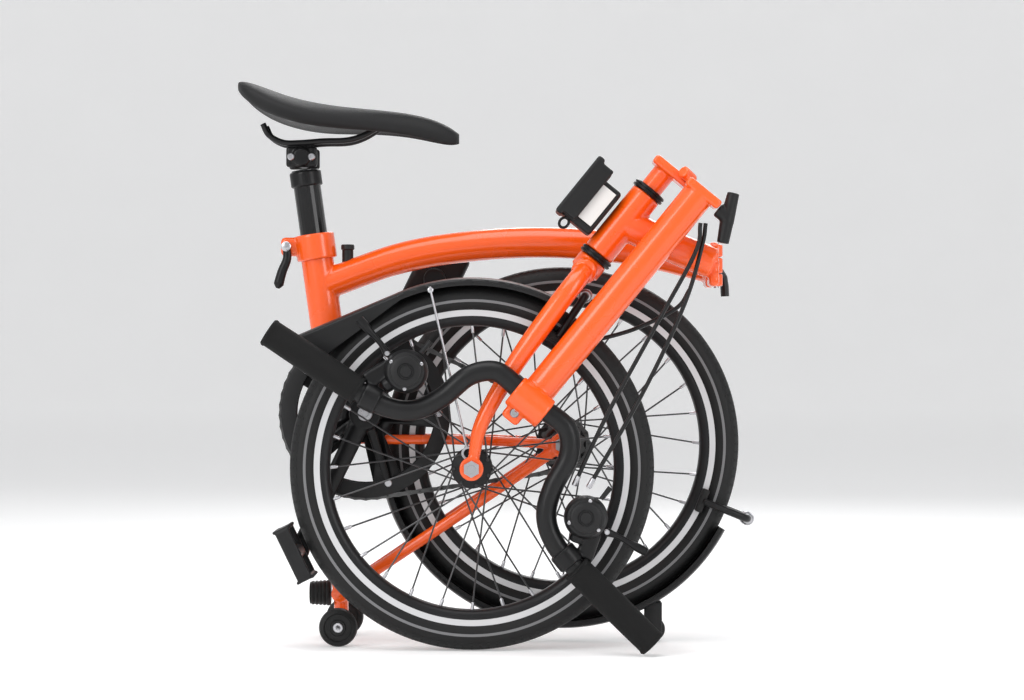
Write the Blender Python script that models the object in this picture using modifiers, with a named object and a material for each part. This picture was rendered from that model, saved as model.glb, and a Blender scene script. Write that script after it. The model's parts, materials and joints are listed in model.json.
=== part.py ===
"""Folding bicycle at rest in its folded state. Metres, +Z up, wheels in planes parallel to XZ."""

import math

import bmesh
import bpy
from mathutils import Matrix, Vector

# Planes of the two halves, measured across the folded pack
REAR_Y = 0.050
FRONT_Y = -0.055
POST_Y = -0.100
BAR_Y = -0.1165

# Wheels
WHEEL_R = 0.206
TYRE_HALF = 0.0175
FRONT_AXLE = Vector((-0.0316, FRONT_Y, WHEEL_R + 0.0003))
REAR_AXLE = Vector((0.072, REAR_Y, 0.230))
FORK_HALF = 0.037
FORK_END_HALF = 0.0065
DROPOUT_HALF = 0.007
STAY_HALF = 0.046

# Steering line: it runs through HEAD along U, and N is square to it in the wheel's plane
HEAD_ANGLE = math.radians(50.9)
U = Vector((math.cos(HEAD_ANGLE), 0, math.sin(HEAD_ANGLE)))
N = Vector((math.sin(HEAD_ANGLE), 0, -math.cos(HEAD_ANGLE)))
HEAD = Vector((0.1678, FRONT_Y, 0.5175))
POST_OFFSET = 0.045
POST_R = 0.018
POST_END = -0.268

# Main frame
TUBE_R = 0.018
SEAT_TOP = Vector((-0.217, REAR_Y, 0.470))
SEAT_DIR = Vector((0.139, 0, -0.990)).normalized()
SEAT_R = 0.019
POST_BORE = 0.0165
SEATPOST_R = 0.0159
CRANK_AXIS = Vector((-0.155, REAR_Y, 0.266))
SHELL_R = 0.017
PIVOT = Vector((-0.220, REAR_Y, 0.237))
HINGE = Vector((0.256, (REAR_Y + FRONT_Y) / 2, 0.436))
GAP = 0.0004

# Moves the whole bicycle so that the origin is under the middle of its box
TO_ORIGIN = Vector((0.0052, 0.0045, 0))

# Drive
CHAIN_Y = 0.016
RING_R = 0.094
SPROCKET_R = 0.026
PEDAL_AXLE = Vector((-0.232, 0, 0.109))
CRANK_Y = 0.003

# Rollers and rear corner
CORNER = Vector((-0.186, REAR_Y, 0.056))
ROLLER_R = 0.022
ROLLER_AXLE = Vector((-0.185, REAR_Y, ROLLER_R))
SMALL_ROLLER_R = 0.014
SMALL_ROLLER = Vector((0.178, REAR_Y, SMALL_ROLLER_R))

# Colours: base colour, roughness, metallic
COLOURS = {
    "orange_paint": ((0.93, 0.16, 0.02), 0.30, 0.0),
    "black_metal": ((0.02, 0.02, 0.02), 0.40, 0.6),
    "black_plastic": ((0.02, 0.02, 0.02), 0.55, 0.0),
    "rubber": ((0.03, 0.03, 0.03), 0.80, 0.0),
    "grip_foam": ((0.02, 0.02, 0.02), 0.95, 0.0),
    "silver": ((0.62, 0.62, 0.64), 0.35, 1.0),
    "steel": ((0.35, 0.35, 0.36), 0.40, 1.0),
}


def clear_scene():
    for obj in list(bpy.data.objects):
        bpy.data.objects.remove(obj, do_unlink=True)


def new_collection(name):
    collection = bpy.data.collections.new(name)
    bpy.context.scene.collection.children.link(collection)
    return collection


clear_scene()
PARTS = new_collection("folding_bicycle")
CUTTERS = new_collection("cutters")


def paint(obj, colour):
    base, roughness, metallic = COLOURS[colour]
    material = bpy.data.materials.new(obj.name + "_" + colour)
    material.use_nodes = True
    shader = material.node_tree.nodes["Principled BSDF"]
    shader.inputs["Base Color"].default_value = (*base, 1)
    shader.inputs["Roughness"].default_value = roughness
    shader.inputs["Metallic"].default_value = metallic
    obj.data.materials.clear()
    obj.data.materials.append(material)
    return obj


def helper(obj):
    """Moves an object to the cutters, out of the render."""
    for collection in list(obj.users_collection):
        collection.objects.unlink(obj)
    CUTTERS.objects.link(obj)
    obj.hide_render = True
    obj.display_type = "WIRE"
    return obj


def mesh_object(name, build):
    mesh = bpy.data.meshes.new(name)
    bm = bmesh.new()
    build(bm)
    bmesh.ops.recalc_face_normals(bm, faces=bm.faces)
    bm.to_mesh(mesh)
    bm.free()
    obj = bpy.data.objects.new(name, mesh)
    PARTS.objects.link(obj)
    return obj


def smooth(obj, angle=40):
    obj.data.shade_smooth()
    obj.data.set_sharp_from_angle(angle=math.radians(angle))
    return obj


def turn_to(axis):
    """Rotation that takes +Z to this axis."""
    return Vector((0, 0, 1)).rotation_difference(Vector(axis)).to_matrix().to_4x4()


def rod(name, start, end, radius, sides=12, end_radius=None):
    """Round bar or cone from one point to another."""
    start, end = Vector(start), Vector(end)

    def build(bm):
        bmesh.ops.create_cone(
            bm,
            cap_ends=True,
            segments=sides,
            radius1=radius,
            radius2=radius if end_radius is None else end_radius,
            depth=(end - start).length,
        )

    obj = mesh_object(name, build)
    obj.matrix_world = Matrix.Translation((start + end) / 2) @ turn_to(end - start)
    return smooth(obj)


def block(name, centre, size, rotation=None, bevel=0.0):
    """Box with its edges rounded."""

    def build(bm):
        bmesh.ops.create_cube(bm, size=1, matrix=Matrix.Diagonal((*size, 1)))
        if bevel:
            bmesh.ops.bevel(bm, geom=bm.edges[:], offset=bevel, segments=1, affect="EDGES")

    obj = mesh_object(name, build)
    turned_by = rotation.to_4x4() if rotation is not None else Matrix.Identity(4)
    obj.matrix_world = Matrix.Translation(centre) @ turned_by
    return obj


def steer_frame():
    """Rotation with local X along N, local Y along Y and local Z along U."""
    return Matrix((N, Vector((0, 1, 0)), U)).transposed()


def steer(n, y, u):
    """Point at n and u from the head point, at height y across."""
    return HEAD + N * n + U * u + Vector((0, y - FRONT_Y, 0))


def turned(name, profile, centre, axis, steps=40, closed=True):
    """Solid of revolution: the profile is (radius, along), down its outer side."""
    mesh = bpy.data.meshes.new(name)
    points = [(r, 0, z) for r, z in profile]
    count = len(points)
    edges = [(i, (i + 1) % count) for i in range(count if closed else count - 1)]
    mesh.from_pydata(points, edges, [])
    obj = bpy.data.objects.new(name, mesh)
    PARTS.objects.link(obj)
    screw = obj.modifiers.new("Screw", "SCREW")
    screw.steps = steps
    screw.render_steps = steps
    screw.use_merge_vertices = True
    screw.merge_threshold = 0.00001
    screw.use_smooth_shade = True
    obj.matrix_world = Matrix.Translation(centre) @ turn_to(axis)
    return obj


def smooth_path(points, pieces):
    """Points of a Catmull-Rom curve through the given points."""
    ends = [2 * points[0] - points[1], *points, 2 * points[-1] - points[-2]]
    path = []
    for i in range(1, len(ends) - 2):
        a, b, c, d = ends[i - 1 : i + 3]
        for k in range(pieces):
            t = k / pieces
            path.append(
                0.5
                * (
                    2 * b
                    + (c - a) * t
                    + (2 * a - 5 * b + 4 * c - d) * t**2
                    + (3 * b - a - 3 * c + d) * t**3
                )
            )
    return [*path, points[-1]]


def pipe(name, points, radius, pieces=6, resolution=2, radii=None):
    """Tube along a smooth curve through the points, made a mesh with welded caps."""
    points = [Vector(p) for p in points]
    path = smooth_path(points, pieces) if pieces > 1 else points
    curve = bpy.data.curves.new(name, "CURVE")
    curve.dimensions = "3D"
    curve.bevel_depth = radius
    curve.bevel_resolution = resolution
    curve.use_fill_caps = True
    spline = curve.splines.new("POLY")
    spline.points.add(len(path) - 1)
    for i, point in enumerate(path):
        spline.points[i].co = (*point, 1)
        if radii:
            spline.points[i].radius = radii(i / (len(path) - 1))
    source = bpy.data.objects.new(name + "_curve", curve)
    PARTS.objects.link(source)
    graph = bpy.context.evaluated_depsgraph_get()
    mesh = bpy.data.meshes.new_from_object(source.evaluated_get(graph))
    bpy.data.objects.remove(source, do_unlink=True)
    bm = bmesh.new()
    bm.from_mesh(mesh)
    bmesh.ops.remove_doubles(bm, verts=bm.verts, dist=0.00001)
    bmesh.ops.recalc_face_normals(bm, faces=bm.faces)
    bm.to_mesh(mesh)
    bm.free()
    mesh.name = name
    obj = bpy.data.objects.new(name, mesh)
    PARTS.objects.link(obj)
    return smooth(obj)


def join(base, others, operation="UNION"):
    """Adds or cuts the others, one Boolean each."""
    for other in others:
        helper(other)
        modifier = base.modifiers.new(operation.title(), "BOOLEAN")
        modifier.operation = operation
        modifier.object = other
        modifier.solver = "EXACT"
    return base


def cut(base, others):
    return join(base, others, "DIFFERENCE")


def seat_at(distance):
    """Point on the seat tube's axis, this far below its top."""
    return SEAT_TOP + SEAT_DIR * distance


def off(point, x=0.0, y=0.0, z=0.0):
    return Vector(point) + Vector((x, y, z))


def make_main_frame():
    tube = pipe(
        "main_frame",
        [(-0.205, REAR_Y, 0.415), (-0.113, REAR_Y, 0.447), (-0.023, REAR_Y, 0.461), (0.068, REAR_Y, 0.464),
         (0.158, REAR_Y, 0.455), (0.240, REAR_Y, 0.436)],
        TUBE_R,
        pieces=3,
        resolution=3,
    )
    seat_tube = rod("seat_tube_outer", seat_at(0), seat_at(0.225), SEAT_R, 20)
    shell = rod("bottom_shell", off(CRANK_AXIS, y=-0.025), off(CRANK_AXIS, y=0.034), SHELL_R, 16)
    gusset = block("shell_gusset", (-0.172, REAR_Y, 0.264), (0.020, 0.030, 0.020))
    lug = rod("pivot_lug", off(PIVOT, y=-0.016), off(PIVOT, y=0.016), 0.013, 12)
    lug_web = block("pivot_web", (-0.203, REAR_Y, 0.244), (0.026, 0.024, 0.020))
    plate = block("hinge_plate", (0.2418, 0.030, 0.436), (0.011, 0.046, 0.050), bevel=0.003)
    knuckle = rod("hinge_knuckle", off(HINGE, x=-0.008, z=-0.009), off(HINGE, x=-0.008, z=0.009), 0.0075, 12)
    web = block("knuckle_web", (0.2416, 0.006, HINGE.z), (0.0090, 0.018, 0.0170))
    join(tube, [seat_tube, shell, gusset, lug_web, lug, plate, web, knuckle])
    bore = rod("seat_bore", seat_at(-0.02), seat_at(0.26), POST_BORE, 24)
    axle_hole = rod("axle_hole", off(CRANK_AXIS, y=-0.05), off(CRANK_AXIS, y=0.05), 0.0094, 12)
    pivot_hole = rod("pivot_hole", off(PIVOT, y=-0.05), off(PIVOT, y=0.05), 0.0054, 12)
    pin_hole = rod("pin_hole", off(HINGE, x=-0.008, z=-0.05), off(HINGE, x=-0.008, z=0.05), 0.0034, 12)
    cut(tube, [bore, axle_hole, pivot_hole, pin_hole])
    paint(tube, "orange_paint")


def make_seat():
    collar = rod("seat_clamp", seat_at(-0.004), seat_at(0.026), 0.0235, 20)
    ears = block("clamp_ears", seat_at(0.011) + Vector((-0.027, 0, 0)), (0.026, 0.022, 0.022), bevel=0.002)
    join(collar, [ears])
    clearance = rod("clamp_bore", seat_at(-0.02), seat_at(0.05), SEAT_R + GAP, 24)
    bolt_hole = rod("bolt_hole", seat_at(0.011) + Vector((-0.033, -0.05, 0)),
                    seat_at(0.011) + Vector((-0.033, 0.05, 0)), 0.0034, 12)
    cut(collar, [clearance, bolt_hole])
    paint(collar, "orange_paint")

    pivot = seat_at(0.011) + Vector((-0.033, 0, 0))
    lever = pipe("seat_clamp_lever",
                 [off(pivot, y=-0.016), off(pivot, y=-0.016, x=0.001, z=-0.018),
                  off(pivot, y=-0.016, x=-0.006, z=-0.034), off(pivot, y=-0.016, x=-0.008, z=-0.046)],
                 0.0044, pieces=3)
    bolt = rod("clamp_bolt", off(pivot, y=-0.020), off(pivot, y=0.018), 0.0030, 12)
    join(lever, [bolt])
    paint(lever, "black_metal")

    post = rod("seatpost", seat_at(0.200), seat_at(-0.0795), SEATPOST_R, 24)
    paint(post, "black_metal")
    head = seat_at(-0.0935)
    clamp = block("saddle_clamp", head, (0.034, 0.060, 0.022), bevel=0.004)
    paint(clamp, "black_metal")
    for side, name in ((-1, "saddle_rail_right"), (1, "saddle_rail_left")):
        y = REAR_Y + side * 0.0225
        rail = pipe(name,
                    [(-0.275, y, 0.598), (-0.258, y, 0.580), (-0.232, y, 0.579), (-0.205, y, 0.581),
                     (-0.178, y, 0.582), (-0.150, REAR_Y + side * 0.018, 0.592),
                     (-0.136, REAR_Y + side * 0.014, 0.600)],
                    0.0034, pieces=2)
        paint(rail, "black_metal")
    make_saddle()


def make_saddle():
    """Loft of oval sections from the tail to the nose."""
    # along X, half width, top, underside
    stations = ((-0.306, 0.040, 0.652, 0.632), (-0.290, 0.066, 0.650, 0.616), (-0.262, 0.074, 0.637, 0.600),
                (-0.225, 0.070, 0.626, 0.589), (-0.180, 0.052, 0.618, 0.588), (-0.135, 0.030, 0.613, 0.588),
                (-0.095, 0.021, 0.610, 0.585), (-0.062, 0.018, 0.601, 0.574), (-0.045, 0.011, 0.592, 0.576))
    around = 16

    def build(bm):
        rings = []
        for x, half, top, low in stations:
            middle, tall = (top + low) / 2, (top - low) / 2
            ring = []
            for k in range(around):
                angle = 2 * math.pi * k / around
                ring.append(bm.verts.new((x, REAR_Y + half * math.cos(angle), middle + tall * math.sin(angle))))
            rings.append(ring)
        for first, second in zip(rings, rings[1:]):
            for k in range(around):
                bm.faces.new((first[k], first[(k + 1) % around], second[(k + 1) % around], second[k]))
        bm.faces.new(rings[0])
        bm.faces.new(rings[-1])

    saddle = smooth(mesh_object("saddle", build), 60)
    slots = [block("rail_slot_" + str(i), (x, REAR_Y + side * y, z), (0.044, 0.015, 0.024))
             for i, (x, side, y, z) in enumerate(((-0.277, -1, 0.0225, 0.5925), (-0.277, 1, 0.0225, 0.5925),
                                                  (-0.142, -1, 0.0160, 0.5955), (-0.142, 1, 0.0160, 0.5955)))]
    cut(saddle, slots)
    paint(saddle, "black_plastic")


def make_cranks():
    ring = turned("chainring", [(RING_R, 0.0012), (RING_R, -0.0012), (0.024, -0.0012), (0.024, 0.0012)],
                  off(CRANK_AXIS, y=CHAIN_Y - REAR_Y), (0, 1, 0), 40)
    windows = []
    for k in range(5):
        angle = 2 * math.pi * (k + 0.5) / 5
        middle = CRANK_AXIS + Vector((math.cos(angle), 0, math.sin(angle))) * 0.058
        middle.y = CHAIN_Y
        windows.append(rod("ring_window_" + str(k), off(middle, y=-0.01), off(middle, y=0.01), 0.021, 10))
    cut(ring, windows)
    paint(ring, "black_metal")

    end = Vector((PEDAL_AXLE.x, CRANK_Y, PEDAL_AXLE.z))
    start = Vector((CRANK_AXIS.x, CRANK_Y, CRANK_AXIS.z))
    turn = (end - start).rotation_difference(Vector((1, 0, 0))).inverted().to_matrix()
    right = block("crank_right", (start + end) / 2, ((end - start).length, 0.011, 0.022), turn, 0.003)
    boss = rod("crank_boss", off(start, y=-0.007), off(start, y=0.010), 0.021, 16)
    eye = rod("crank_eye", off(end, y=-0.0055), off(end, y=0.0055), 0.013, 12)
    far_face = 2 * REAR_Y - CRANK_Y - 0.0055
    spindle = rod("spindle", off(start, y=0.006), off(start, y=far_face - GAP - CRANK_Y), 0.0089, 12)
    join(right, [boss, eye, spindle])
    paint(right, "black_metal")

    far_y = 2 * REAR_Y - CRANK_Y
    far_start = Vector((CRANK_AXIS.x, far_y, CRANK_AXIS.z))
    far_end = 2 * far_start - end
    far_end.y = far_y
    left = block("crank_left", (far_start + far_end) / 2, ((end - start).length, 0.011, 0.022), turn, 0.003)
    far_boss = rod("far_boss", off(far_start, y=-0.0050), off(far_start, y=0.008), 0.019, 16)
    far_eye = rod("far_eye", off(far_end, y=-0.0055), off(far_end, y=0.0055), 0.013, 12)
    join(left, [far_boss, far_eye])
    paint(left, "black_metal")
    make_pedals(end, far_end, turn)


def make_pedals(near, far, turn):
    """The right pedal is a cage on its axle. The left one folds flat along its crank."""
    tangent = Vector((FRONT_AXLE.z - near.z, 0, near.x - FRONT_AXLE.x)).normalized()
    lean = Vector((1, 0, 0)).rotation_difference(tangent).to_matrix()
    body = block("pedal_right", off(near, y=-0.047), (0.068, 0.070, 0.022), lean, 0.004)
    stub = rod("pedal_stub", off(near, y=-0.0065), off(near, y=-0.020), 0.006, 12)
    join(body, [stub])
    windows = [block("pedal_window_" + str(i), off(near, y=-0.047) + tangent * side * 0.020,
                     (0.018, 0.046, 0.050), lean) for i, side in enumerate((-1, 1))]
    cut(body, windows)
    paint(body, "black_metal")
    leaf = block("pedal_left", off(far, y=0.021), (0.080, 0.020, 0.060), turn, 0.005)
    far_stub = rod("far_stub", off(far, y=0.0065), off(far, y=0.014), 0.007, 12)
    join(leaf, [far_stub])
    paint(leaf, "black_metal")


def make_chain():
    """Flat loop round the chainring and the sprocket."""
    a = Vector((CRANK_AXIS.x, CRANK_AXIS.z))
    b = Vector((REAR_AXLE.x, REAR_AXLE.z))

    def outline(extra):
        first, second = RING_R + extra, SPROCKET_R + extra
        along = b - a
        lean = math.atan2(along.y, along.x)
        spread = math.acos((first - second) / along.length)
        points = []
        for centre, radius, start, end, count in ((a, first, spread, 2 * math.pi - spread, 20),
                                                  (b, second, -spread, spread, 8)):
            for k in range(count + 1):
                angle = lean + start + (end - start) * k / count
                points.append((centre.x + radius * math.cos(angle), centre.y + radius * math.sin(angle)))
        return points

    def build(bm):
        rings = []
        for extra, y in ((0.0010, -0.0028), (0.0070, -0.0028), (0.0070, 0.0028), (0.0010, 0.0028)):
            rings.append([bm.verts.new((x, CHAIN_Y + y, z)) for x, z in outline(extra)])
        count = len(rings[0])
        for first, second in zip(rings, [*rings[1:], rings[0]]):
            for k in range(count):
                bm.faces.new((first[k], first[(k + 1) % count], second[(k + 1) % count], second[k]))

    paint(mesh_object("chain", build), "steel")


def make_wheel(side, axle, hub_half, flange, spoke_count=20):
    """Tyre, rim and laced hub of one wheel."""
    seat_r = 0.1815
    inner = 0.1640
    tyre = turned(side + "_tyre",
                  [(seat_r, 0.0105), (seat_r + 0.009, TYRE_HALF), (seat_r + 0.018, 0.0155), (WHEEL_R, 0.006),
                   (WHEEL_R, -0.006), (seat_r + 0.018, -0.0155), (seat_r + 0.009, -TYRE_HALF),
                   (seat_r, -0.0105)],
                  axle, (0, 1, 0), 40)
    paint(tyre, "rubber")
    rim = turned(side + "_rim",
                 [(seat_r - 0.0004, 0.0110), (seat_r - 0.0004, -0.0110), (inner + 0.001, -0.0095),
                  (inner - 0.004, -0.004), (inner - 0.004, 0.004), (inner + 0.001, 0.0095)],
                 axle, (0, 1, 0), 40)
    paint(rim, "silver")
    hub = turned(side + "_hub_and_spokes",
                 [(0.0065, hub_half), (0.012, hub_half), (0.014, flange + 0.003), (0.026, flange + 0.001),
                  (0.026, flange - 0.002), (0.013, flange - 0.005), (0.013, -flange + 0.005),
                  (0.026, -flange + 0.002), (0.026, -flange - 0.001), (0.014, -flange - 0.003),
                  (0.012, -hub_half), (0.0065, -hub_half)],
                 axle, (0, 1, 0), 12)
    spokes = []
    for k in range(spoke_count):
        angle = 2 * math.pi * k / spoke_count
        across = flange if k % 2 else -flange
        lead = (0.55 if k % 4 < 2 else -0.55)
        start = axle + Vector((0.021 * math.cos(angle + lead), across, 0.021 * math.sin(angle + lead)))
        reach = inner - 0.0046
        end = axle + Vector((reach * math.cos(angle), 0, reach * math.sin(angle)))
        spokes.append(rod(side + "_spoke_" + str(k), start, end, 0.0011, 3))
    mesh = bpy.data.meshes.new(side + "_spokes")
    bm = bmesh.new()
    for spoke in spokes:
        start_count = len(bm.verts)
        bm.from_mesh(spoke.data)
        bm.verts.ensure_lookup_table()
        bmesh.ops.transform(bm, matrix=spoke.matrix_world, verts=bm.verts[start_count:])
        bpy.data.objects.remove(spoke, do_unlink=True)
    bm.to_mesh(mesh)
    bm.free()
    lacing = bpy.data.objects.new(side + "_spokes", mesh)
    PARTS.objects.link(lacing)
    join(hub, [lacing])
    paint(hub, "black_metal")


def make_front_frame():
    top, low = steer(0, FRONT_Y, -0.004), steer(0, FRONT_Y, -0.090)
    frame = rod("front_frame", top, low, 0.0180, 20)
    arm = pipe("front_tube", [(0.140, FRONT_Y, 0.482), (0.190, FRONT_Y, 0.458), (0.240, FRONT_Y, 0.437)],
               TUBE_R, pieces=2, resolution=3)
    plate = block("front_hinge_plate", (0.2418, -0.036, 0.436), (0.011, 0.040, 0.050), bevel=0.003)
    knuckles = [rod("front_knuckle_" + str(side), off(HINGE, x=-0.008, z=side * 0.0095),
                    off(HINGE, x=-0.008, z=side * 0.024), 0.0075, 16) for side in (-1, 1)]
    webs = [block("knuckle_web_" + str(side), (0.2416, -0.013, HINGE.z + side * 0.0170), (0.0090, 0.022, 0.0135))
            for side in (-1, 1)]
    join(frame, [arm, plate, *knuckles, *webs])
    bore = rod("head_bore", steer(0, FRONT_Y, 0.02), steer(0, FRONT_Y, -0.12), 0.0145, 16)
    holes = rod("front_pin_hole", off(HINGE, x=-0.008, z=-0.05), off(HINGE, x=-0.008, z=0.05), 0.0034, 12)
    cut(frame, [bore, holes])
    paint(frame, "orange_paint")
    pin = rod("frame_hinge_pin", off(HINGE, x=-0.008, z=-0.026), off(HINGE, x=-0.008, z=0.026), 0.0030, 12)
    paint(pin, "steel")
    for name, high, deep in (("headset_upper", 0.004, -0.0036), ("headset_lower", -0.0904, -0.098)):
        cup = turned(name, [(0.0200, 0.5 * abs(high - deep)), (0.0200, -0.5 * abs(high - deep)),
                            (0.0139, -0.5 * abs(high - deep)), (0.0139, 0.5 * abs(high - deep))],
                     steer(0, FRONT_Y, (high + deep) / 2), U, 12)
        paint(cup, "black_metal")
    carrier = block("carrier_block", steer(-0.043, FRONT_Y, -0.052), (0.044, 0.050, 0.062),
                    steer_frame(), 0.004)
    face = block("carrier_face", steer(-0.064, FRONT_Y, -0.044), (0.010, 0.064, 0.080), steer_frame(), 0.003)
    join(carrier, [face])
    paint(carrier, "black_plastic")
    clamp = pipe("frame_clamp_lever",
                 [(0.246, 0.0765, 0.440), (0.252, 0.0765, 0.437), (0.262, 0.0765, 0.424), (0.264, 0.0765, 0.402)],
                 0.0050, pieces=2)
    paint(clamp, "black_metal")


def make_fork():
    crown_u = -0.116
    fork = rod("fork", steer(0, FRONT_Y, 0.030), steer(0, FRONT_Y, crown_u), 0.0130, 16)
    crown = rod("fork_crown", steer(0, FRONT_Y - 0.022, crown_u), steer(0, FRONT_Y + 0.022, crown_u), 0.0145, 16)
    race = rod("crown_race", steer(0, FRONT_Y, -0.0985), steer(0, FRONT_Y, crown_u), 0.0175, 16)
    blades = []
    for side in (-1, 1):
        y = FRONT_Y + side * FORK_HALF
        blades.append(pipe("fork_blade_" + str(side),
                           [steer(0, FRONT_Y + side * 0.016, crown_u), steer(0, y + side * -0.006, crown_u - 0.020),
                            steer(0.001, y, crown_u - 0.055), steer(0.006, y, -0.250),
                            steer(0.018, y, -0.320), off(FRONT_AXLE, y=side * FORK_HALF, x=0.002, z=0.010)],
                           0.0115, pieces=3, resolution=2, radii=lambda t: 1.0 if t < 0.5 else 1.45 - 0.9 * t))
        blades.append(rod("fork_end_" + str(side), off(FRONT_AXLE, y=side * (FORK_HALF - FORK_END_HALF)),
                          off(FRONT_AXLE, y=side * (FORK_HALF + FORK_END_HALF)), 0.0135, 16))
    plate = block("steerer_hinge_plate", steer(0.010, FRONT_Y, 0.0335), (0.058, 0.040, 0.011), steer_frame(), 0.003)
    join(fork, [race, crown, *blades, plate])
    hole = rod("fork_axle_hole", off(FRONT_AXLE, y=-0.09), off(FRONT_AXLE, y=0.09), 0.0049, 12)
    relief = rod("post_hinge_clear", hinge_point(-0.060), hinge_point(0.060), 0.0074, 12)
    cut(fork, [hole, relief])
    paint(fork, "orange_paint")
    make_axle("front_axle", FRONT_AXLE, FORK_HALF + FORK_END_HALF)


def make_axle(name, centre, outside):
    axle = rod(name, off(centre, y=-outside - 0.010), off(centre, y=outside + 0.010), 0.0045, 12)
    nuts = [rod(name + "_nut_" + str(side), off(centre, y=side * (outside + GAP)),
                off(centre, y=side * (outside + 0.008)), 0.0095, 6) for side in (-1, 1)]
    join(axle, nuts)
    paint(axle, "steel")


HINGE_AXIS = (N + Vector((0, 1, 0))).normalized()
HINGE_U = 0.0402


def hinge_point(along):
    """Point on the handlepost's hinge line, which lies at 45 degrees between N and Y."""
    middle = steer(POST_OFFSET / 2, (FRONT_Y + POST_Y) / 2, HINGE_U)
    return middle + HINGE_AXIS * along


# Handlebar: distance from the post's centre and height on it, for one half
BAR_HALF = ((0.0, -0.268), (0.026, -0.264), (0.052, -0.266), (0.071, -0.288), (0.079, -0.325), (0.092, -0.353),
            (0.115, -0.370), (0.150, -0.378), (0.270, -0.390))


def bar_point(side, across, high, y=BAR_Y):
    return steer(POST_OFFSET + side * across, y, high)


def make_handlepost():
    top, low = steer(POST_OFFSET, POST_Y, 0.031), steer(POST_OFFSET, POST_Y, POST_END)
    post = rod("handlepost", top, low, POST_R, 20)
    plate = block("post_hinge_plate", steer(POST_OFFSET + 0.003, POST_Y, 0.0335), (0.046, 0.036, 0.011),
                  steer_frame(), 0.003)
    clamp = rod("bar_clamp", steer(POST_OFFSET - 0.022, BAR_Y, POST_END), steer(POST_OFFSET + 0.022, BAR_Y, POST_END),
                0.0185, 24)
    ear = block("bar_clamp_ear", steer(POST_OFFSET - 0.006, BAR_Y + 0.004, POST_END - 0.020), (0.022, 0.014, 0.022),
                steer_frame(), 0.003)
    knuckle = rod("post_knuckle", hinge_point(-0.010), hinge_point(0.010), 0.0070, 12)
    web = block("post_knuckle_web", steer(POST_OFFSET / 2 + 0.010, (FRONT_Y + POST_Y) / 2 - 0.010, 0.0365),
                (0.016, 0.016, 0.007), steer_frame())
    join(post, [clamp, ear, plate, web, knuckle])
    through = [bar_point(-1, *p) for p in reversed(BAR_HALF[1:4])] + [bar_point(1, *p) for p in BAR_HALF[:4]]
    hole = pipe("bar_hole", through, 0.0121, pieces=2)
    cut(post, [hole])
    paint(post, "orange_paint")
    knob = rod("post_clamp_lever", steer(POST_OFFSET + 0.0265, POST_Y, 0.030),
               steer(POST_OFFSET + 0.040, POST_Y, 0.030), 0.008, 12)
    wings = []
    for side in (-1, 1):
        root_end = off(steer(POST_OFFSET + 0.041, POST_Y, 0.030), x=-0.001 * side, z=-0.005 * side)
        tip = off(steer(POST_OFFSET + 0.042, POST_Y, 0.030), x=0.006 * side, z=0.030 * side)
        wings.append(rod("clamp_wing_" + str(side), root_end, tip, 0.0087, 10, 0.0072))
    join(knob, wings)
    paint(knob, "black_plastic")


def make_bar():
    half = BAR_HALF[1:]
    points = [bar_point(-1, *p) for p in reversed(half)] + [bar_point(1, *p) for p in BAR_HALF]
    bar = pipe("handlebar", points, 0.0115, pieces=2)
    paint(bar, "black_metal")
    for side, name in ((-1, "left"), (1, "right")):
        inner, outer = bar_point(side, 0.155, -0.3785), bar_point(side, 0.275, -0.3905)
        grip = rod("grip_" + name, inner, outer, 0.0165, 16)
        hole = rod("grip_hole_" + name, inner + (inner - outer), bar_point(side, 0.2715, -0.39015), 0.0122, 12)
        cut(grip, [hole])
        paint(grip, "grip_foam")
        make_pod(side, name)


def make_pod(side, name):
    """Brake lever mount and gear control housing beside each grip."""
    centre = bar_point(side, 0.128, -0.340 + 0.012, BAR_Y - 0.014)
    pod = turned("control_pod_" + name,
                 [(0, 0.010), (0.022, 0.010), (0.0245, 0.005), (0.0235, -0.010), (0.020, -0.014),
                  (0.008, -0.0165), (0, -0.0165)], off(centre, y=0.010), (0, 1, 0), 20, closed=False)
    neck = rod("pod_neck_" + name, bar_point(side, 0.136, -0.356), bar_point(side, 0.130, -0.335, BAR_Y - 0.008),
               0.009, 12)
    collar = rod("pod_collar_" + name, bar_point(side, 0.128, -0.3735), bar_point(side, 0.150, -0.3780), 0.0155, 16)
    join(pod, [neck, collar])
    bend = pipe("pod_bore_" + name, [bar_point(side, *p) for p in BAR_HALF[4:9]], 0.0121, pieces=3)
    cut(pod, [bend])
    paint(pod, "black_plastic")
    pivot = lever_axis(side)
    lever = pipe("brake_lever_" + name,
                 [pivot, bar_point(side, 0.170, -0.322, BAR_Y + 0.004), bar_point(side, 0.205, -0.316, BAR_Y + 0.004)],
                 0.0048, pieces=3)
    paint(lever, "black_metal")
    trigger = block("shift_lever_" + name, bar_point(side, 0.128, -0.2930, BAR_Y - 0.012), (0.008, 0.006, 0.020),
                    steer_frame(), 0.002)
    paint(trigger, "black_plastic")


def lever_axis(side):
    return bar_point(side, 0.157, -0.326, BAR_Y + 0.004)


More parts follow.
